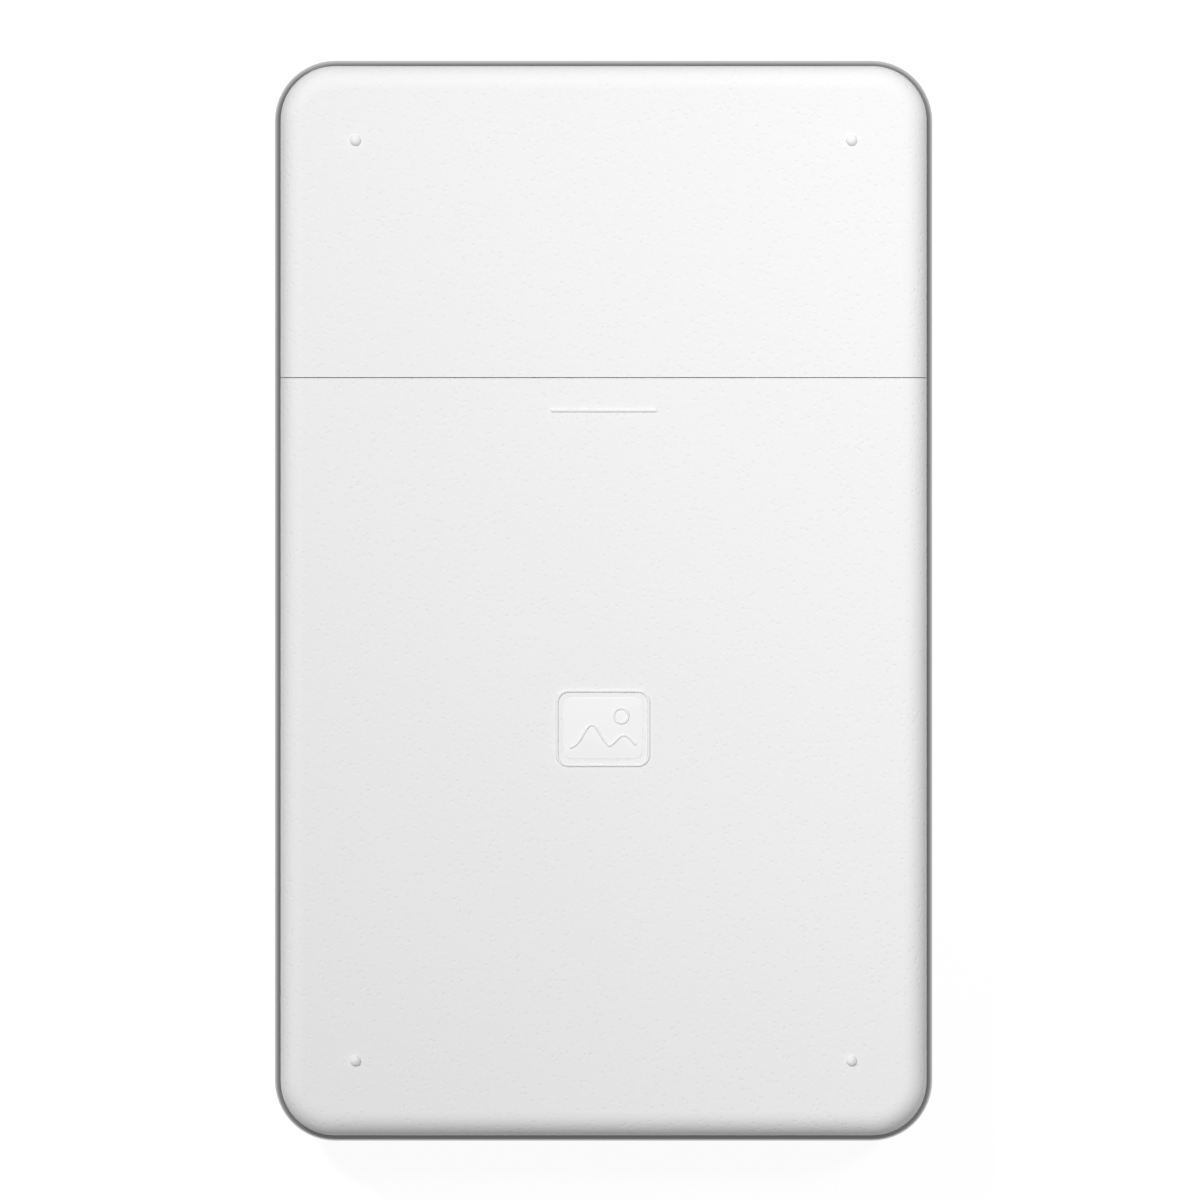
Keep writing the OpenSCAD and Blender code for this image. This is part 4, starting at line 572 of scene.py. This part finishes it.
# finishes, one row of values for each material slot of the record: colour and second are linear; grain,
# depth, edge, cell and pitch are in mm, driftSize in metres, lines per metre, and the rest are shares
finishes = {
    "shell_white": (plainFinish, {
        "colour": (0.88, 0.88, 0.88), "rough": 0.55, "grain": 0.34, "depth": 0.03, "speckle": 0.05,
        "drift": 0.008, "driftSize": 0.03, "pits": 1.3}),
    "band_grey": (plainFinish, {
        "colour": (0.5, 0.5, 0.505), "metal": 0.8, "rough": 0.3, "grain": 0.25, "depth": 0.001,
        "speckle": 0.04, "drift": 0.02}),
    "button_grey": (plainFinish, {
        "colour": (0.40, 0.40, 0.41), "rough": 0.36, "grain": 0.25, "depth": 0.003, "speckle": 0.04,
        "edge": 0.15, "edgeShare": 0.2}),
    "frame_plastic": (plainFinish, {
        "colour": (0.045, 0.045, 0.05), "rough": 0.5, "grain": 0.3, "depth": 0.008, "speckle": 0.5,
        "drift": 0.12, "edge": 0.15, "edgeShare": 0.35, "edgeColour": (0.11, 0.11, 0.12), "dust": 0.25}),
    "black_plastic": (plainFinish, {
        "colour": (0.03, 0.03, 0.03), "rough": 0.38, "grain": 0.2, "depth": 0.003, "speckle": 0.3,
        "edge": 0.12, "edgeShare": 0.3, "edgeColour": (0.09, 0.09, 0.09), "dust": 0.12}),
    "flap_plastic": (plainFinish, {
        "colour": (0.58, 0.58, 0.58), "rough": 0.45, "grain": 0.3, "depth": 0.005, "speckle": 0.05,
        "edge": 0.15, "edgeShare": 0.2}),
    "gear_plastic": (plainFinish, {
        "colour": (0.78, 0.76, 0.68), "rough": 0.36, "grain": 0.2, "depth": 0.003, "speckle": 0.04,
        "drift": 0.03, "driftSize": 0.006, "edge": 0.1, "edgeShare": 0.3}),
    "chip_black": (plainFinish, {
        "colour": (0.028, 0.028, 0.03), "rough": 0.62, "grain": 0.12, "depth": 0.006, "speckle": 0.6,
        "edge": 0.08, "edgeShare": 0.3, "edgeColour": (0.08, 0.08, 0.085)}),
    "connector_ivory": (plainFinish, {
        "colour": (0.75, 0.72, 0.6), "rough": 0.4, "grain": 0.2, "depth": 0.003, "speckle": 0.05,
        "edge": 0.1, "edgeShare": 0.25}),
    "bar_ceramic": (plainFinish, {
        "colour": (0.86, 0.85, 0.8), "rough": 0.22, "grain": 0.15, "depth": 0.001, "speckle": 0.05,
        "edge": 0.08, "edgeShare": 0.2}),
    "led_body": (plainFinish, {
        "colour": (0.85, 0.84, 0.7), "rough": 0.18, "grain": 0.3, "depth": 0.001, "edge": 0.08,
        "edgeShare": 0.3, "coat": 0.4}),
    "lead_red": (plainFinish, {
        "colour": (0.5, 0.03, 0.02), "rough": 0.42, "grain": 0.3, "depth": 0.004, "speckle": 0.1,
        "drift": 0.06, "driftSize": 0.004, "edge": 0.3, "edgeShare": 0.0}),
    "lead_blue": (plainFinish, {
        "colour": (0.03, 0.05, 0.25), "rough": 0.42, "grain": 0.3, "depth": 0.004, "speckle": 0.1,
        "drift": 0.06, "driftSize": 0.004, "edge": 0.3, "edgeShare": 0.0}),
    "clear_guide": (plainFinish, {
        "colour": (0.93, 0.95, 0.96), "rough": 0.12, "grain": 0.5, "depth": 0.001, "speckle": 0.01,
        "drift": 0.01, "edge": 0.1, "edgeShare": 0.1, "index": 1.49, "clear": 0.9}),
    "bright_steel": (linedFinish, {
        "colour": (0.6, 0.6, 0.61), "second": (0.7, 0.7, 0.71), "metal": 1.0, "rough": 0.2,
        "lines": (9000.0, 150.0, 150.0), "depth": 0.001, "patternDepth": 1.5, "grain": 0.2, "edge": 0.1,
        "edgeShare": 0.4, "edgeColour": (0.85, 0.85, 0.86)}),
    "screw_steel": (linedFinish, {
        "colour": (0.46, 0.47, 0.5), "second": (0.56, 0.56, 0.56), "metal": 1.0, "rough": 0.3,
        "lines": (1200.0, 1200.0, 4000.0), "depth": 0.002, "grain": 0.15, "edge": 0.08, "edgeShare": 0.5,
        "edgeColour": (0.8, 0.8, 0.8)}),
    "spring_steel": (linedFinish, {
        "colour": (0.5, 0.51, 0.54), "second": (0.6, 0.6, 0.62), "metal": 1.0, "rough": 0.26,
        "lines": (5000.0, 120.0, 5000.0), "depth": 0.001, "grain": 0.2, "edge": 0.08, "edgeShare": 0.4,
        "edgeColour": (0.78, 0.78, 0.8)}),
    "motor_steel": (linedFinish, {
        "colour": (0.52, 0.52, 0.54), "second": (0.64, 0.64, 0.66), "metal": 1.0, "rough": 0.26,
        "lines": (7000.0, 90.0, 90.0), "depth": 0.001, "grain": 0.3, "edge": 0.15, "edgeShare": 0.35,
        "edgeColour": (0.82, 0.82, 0.83)}),
    "sink_aluminium": (linedFinish, {
        "colour": (0.64, 0.65, 0.66), "second": (0.76, 0.77, 0.78), "metal": 1.0, "rough": 0.34,
        "lines": (60.0, 6000.0, 6000.0), "depth": 0.002, "grain": 0.15, "edge": 0.12, "edgeShare": 0.45,
        "edgeColour": (0.9, 0.9, 0.91)}),
    "brass": (linedFinish, {
        "colour": (0.66, 0.47, 0.19), "second": (0.78, 0.58, 0.26), "metal": 1.0, "rough": 0.3,
        "lines": (6000.0, 200.0, 200.0), "depth": 0.001, "grain": 0.15, "edge": 0.08, "edgeShare": 0.35,
        "edgeColour": (0.9, 0.72, 0.4)}),
    "roller_rubber": (linedFinish, {
        "colour": (0.045, 0.045, 0.047), "second": (0.075, 0.075, 0.076), "rough": 0.72,
        "lines": (5000.0, 260.0, 260.0), "depth": 0.008, "patternDepth": 1.2, "grain": 0.12, "edge": 0.1,
        "edgeShare": 0.2, "dust": 0.35}),
    "cork": (cellFinish, {
        "colour": (0.34, 0.2, 0.1), "second": (0.52, 0.36, 0.21), "rough": 0.8, "cell": 0.7,
        "depth": 0.03, "patternDepth": 0.8, "grain": 0.2, "speckle": 0.3, "edge": 0.1, "edgeShare": 0.1}),
    "tape_foam": (cellFinish, {
        "colour": (0.7, 0.68, 0.63), "second": (0.78, 0.76, 0.71), "rough": 0.85, "cell": 0.25,
        "depth": 0.03, "grain": 0.15, "edge": 0.1, "edgeShare": 0.1}),
    "shield_tin": (cellFinish, {
        "colour": (0.6, 0.6, 0.6), "second": (0.72, 0.72, 0.72), "metal": 1.0, "rough": 0.28, "cell": 1.2,
        "depth": 0.001, "grain": 0.2, "edge": 0.15, "edgeShare": 0.4, "edgeColour": (0.88, 0.88, 0.88)}),
    "pouch_foil": (cellFinish, {
        "colour": (0.6, 0.6, 0.62), "second": (0.68, 0.68, 0.7), "metal": 0.75, "rough": 0.4, "cell": 9.0,
        "depth": 0.08, "patternDepth": 0.5, "grain": 3.0, "speckle": 0.06, "edge": 0.4,
        "edgeShare": 0.2}),
    "board_green": (tracksFinish, {
        "colour": (0.025, 0.15, 0.07), "second": (0.05, 0.24, 0.11), "rough": 0.28, "cell": 1.6,
        "trackFrom": 0.16, "trackFull": 0.1, "depth": 0.01, "grain": 0.2, "edge": 0.08, "edgeShare": 0.3,
        "edgeColour": (0.35, 0.38, 0.2), "coat": 0.3}),
    "flex_film": (stripesFinish, {
        "colour": (0.5, 0.25, 0.06), "second": (0.66, 0.4, 0.14), "rough": 0.2, "pitch": 0.5,
        "softness": 0.2, "depth": 0.01, "grain": 0.5, "edge": 0.1, "edgeShare": 0.2, "coat": 0.3}),
}

# the sign's plate: the shell's plastic, smoother and a little paler
signFinish = {
    "colour": (0.93, 0.93, 0.93), "rough": 0.36, "grain": 0.3, "depth": 0.001, "speckle": 0.01,
    "drift": 0.006, "driftSize": 0.03,
}

materials = {}
for slotName, (recipe, values) in finishes.items():
    materials[slotName] = recipe(slotName, values)
materials["sign_face"] = plainFinish("sign_face", signFinish)

for row in frame["record"]["subparts"]:
    node = frame["nodes"][row["node"]]
    material = materials[row["material_slot"]]
    if not node.material_slots:
        node.data.materials.append(material)
    for place in node.material_slots:
        place.material = material
print("materials made and given out:", len(materials))

# generic raised sign on the cover: a small landscape print with hills and a sun
signValues = {
    "centrePixel": (603.0, 728.0),  # middle of the sign in the photograph
    "width": 10.6 * mm,
    "tall": 8.6 * mm,
    "corner": 1.3 * mm,
    "line": 0.34 * mm,              # width of a raised line
    "rise": 0.2 * mm,               # height of a raised line above the cover
    "plateRise": 0.06 * mm,
    "plateEdge": 0.06 * mm,
    "margin": 0.75 * mm,            # from the outline to the plate
    "sunk": 0.06 * mm,              # how far the pieces reach into the cover
    "sunRadius": 0.85 * mm,
    "sunAt": (2.1 * mm, 1.45 * mm),
    "sunSteps": 40,
    "hillsFoot": -2.3 * mm,         # from the sign's middle
    "hillsInset": 0.6 * mm,         # from the plate's sides to the hills' ends
    "hills": [                      # height, place from the middle, half width at 1/e of the height
        (2.7 * mm, -1.3 * mm, 1.35 * mm),
        (1.5 * mm, 2.4 * mm, 1.25 * mm),
    ],
}


def lineRidge(path, closed, width, rise, base, sunk, across=9):
    # a half ellipse carried along a flat path; open ends shrink to a point, so they are domed
    along = np.roll(path, -1, axis=0) - np.roll(path, 1, axis=0)
    if not closed:
        along[0] = path[1] - path[0]
        along[-1] = path[-1] - path[-2]
    along = along / np.linalg.norm(along, axis=1, keepdims=True)
    side = np.stack([along[:, 1], -along[:, 0]], axis=1)
    share = np.ones(len(path))
    if not closed:
        travel = np.concatenate([[0], np.cumsum(np.linalg.norm(np.diff(path, axis=0), axis=1))])
        nearEnd = np.minimum(travel, travel[-1] - travel) / (width / 2)
        share = np.sqrt(np.clip(1 - (1 - np.clip(nearEnd, 0, 1)) ** 2, 0, 1))
    turn = np.linspace(0, math.pi, across)
    offset = np.concatenate([[-1.0], -np.cos(turn), [1.0]]) * width / 2
    height = np.concatenate([[-sunk], rise * np.sin(turn), [-sunk]])
    points = np.empty((len(path), across + 2, 3))
    points[:, :, :2] = path[:, None, :] + side[:, None, :] * offset[None, :, None] * share[:, None, None]
    lifted = np.where(height > 0, height[None, :] * share[:, None], height[None, :])
    points[:, :, 2] = base + lifted
    return points.reshape(-1, 3), gridFaces(len(path), across + 2, closed, True)


def raisedPlate(width, tall, corner, edge, rise, base, sunk, steps=6):
    # rings of one rounded rectangle: up a quarter-round edge, then in to a closed middle
    turn = np.linspace(0, math.pi / 2, steps)
    insets = np.concatenate([[0.0], edge * (1 - np.cos(turn))])
    heights = np.concatenate([[-sunk], rise * np.sin(turn)])
    rings = []
    for inset, height in zip(insets, heights):
        outline = roundedOutline(width - 2 * inset, tall - 2 * inset, corner - inset)
        rings.append(np.column_stack([outline, np.full(len(outline), base + height)]))
    flat = rings[-1].copy()
    flat[:, :2] = 0.0
    rings.append(flat)
    rings = np.stack(rings)
    return rings.reshape(-1, 3), gridFaces(len(rings), rings.shape[1], False, True)


def hillLine(width, foot, hills, steps=60):
    # a skyline of soft peaks: at each point the highest of the hills, each a bell curve
    x = np.linspace(-width / 2, width / 2, steps)
    peaks = [height * np.exp(-((x - middle) / half) ** 2) for height, middle, half in hills]
    return np.column_stack([x, foot + np.max(peaks, axis=0)])


def mergePoints(mesh, outwards=False):
    # points closer than mergeGap become one; outwards also turns every face away from the inside
    work = bmesh.new()
    work.from_mesh(mesh)
    bmesh.ops.remove_doubles(work, verts=work.verts, dist=mergeGap)
    if outwards:
        bmesh.ops.recalc_face_normals(work, faces=work.faces)
    work.to_mesh(mesh)
    work.free()
    mesh.shade_smooth()


def meshPiece(name, parts, place, body, slotName, finish=None):
    # joins grids into one mesh with closed ends, in the finish of its slot or in one of its own
    mesh = bpy.data.meshes.new(name)
    points = np.concatenate([part[0] for part in parts]) + np.array(place)
    starts = np.cumsum([0] + [len(part[0]) for part in parts[:-1]])
    faces = np.concatenate([part[1] + start for part, start in zip(parts, starts)])
    mesh.from_pydata(points.tolist(), [], faces.tolist())
    mergePoints(mesh, outwards=True)
    piece = bpy.data.objects.new(name, mesh)
    scene.collection.objects.link(piece)
    mesh.materials.append(materials[finish or slotName])
    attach(piece, body)


faceValues = {
    "above": 0.019,                 # m, only points higher than this are the cover's upper side
    "step": 0.01 * mm,              # heights are counted in steps of this
}


def coverFace(values):
    # height of the cover's flat face: the commonest height among its upper points
    mesh = frame["nodes"]["paper_cover"].data
    points = np.empty(len(mesh.vertices) * 3, np.float32)
    mesh.vertices.foreach_get("co", points)
    heights = points.reshape(-1, 3)[:, 2]
    upper = np.round(heights[heights > values["above"]] / values["step"]).astype(int)
    return float(np.bincount(upper).argmax()) * values["step"]


def makeSign(values):
    # a polished plate with a frame round it and a skyline and a sun on it, all three as raised lines
    middle = cameraValues["printerCentre"]
    place = ((values["centrePixel"][0] - middle[0]) * pixelSize,
             (middle[1] - values["centrePixel"][1]) * pixelSize, 0)
    face = coverFace(faceValues)
    line = (values["line"], values["rise"], face, values["sunk"])
    frameLine = lineRidge(roundedOutline(values["width"], values["tall"], values["corner"]), True, *line)
    plateWidth = values["width"] - 2 * values["margin"]
    plateTall = values["tall"] - 2 * values["margin"]
    plate = raisedPlate(plateWidth, plateTall, values["corner"] - values["margin"] / 2, values["plateEdge"],
                        values["plateRise"], face, values["sunk"])
    skyline = hillLine(plateWidth - 2 * values["hillsInset"], values["hillsFoot"], values["hills"])
    hills = lineRidge(skyline, False, *line)
    turn = np.linspace(0, 2 * math.pi, values["sunSteps"], endpoint=False)
    ring = np.column_stack([np.cos(turn), np.sin(turn)]) * values["sunRadius"] + np.array(values["sunAt"])
    sun = lineRidge(ring, True, *line)
    meshPiece("sign_plate", [plate], place, "cover", "shell_white", "sign_face")
    meshPiece("sign_lines", [frameLine, hills, sun], place, "cover", "shell_white")


makeSign(signValues)
print("picture sign raised on the cover")

# springs copied from their nodes, each listed with the joint it presses on;
# keep is the share of the height left when the joint is at its limit
springValues = {
    "head_springs": {"piece": "head_spring_coils", "joint": "head_tilt", "slot": "spring_steel",
                     "body": "printer_body", "keep": 0.945},
    "press_spring": {"piece": "press_spring_leaf", "joint": "flap_tilt", "slot": "spring_steel",
                     "body": "cover", "keep": 0.3},
}
springSharp = 35.0                  # degrees, steeper edges than this stay sharp


def makeSpring(nodeName, values):
    # the node's own mesh with its loose triangles joined, put on its body in place of the node
    mesh = frame["nodes"][nodeName].data.copy()
    mergePoints(mesh)
    mesh.set_sharp_from_angle(angle=math.radians(springSharp))
    spring = bpy.data.objects.new(values["piece"], mesh)
    scene.collection.objects.link(spring)
    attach(spring, values["body"])
    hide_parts(nodeName)
    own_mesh(spring)


for nodeName, values in springValues.items():
    makeSpring(nodeName, values)
print("springs made to flatten:", len(springValues))
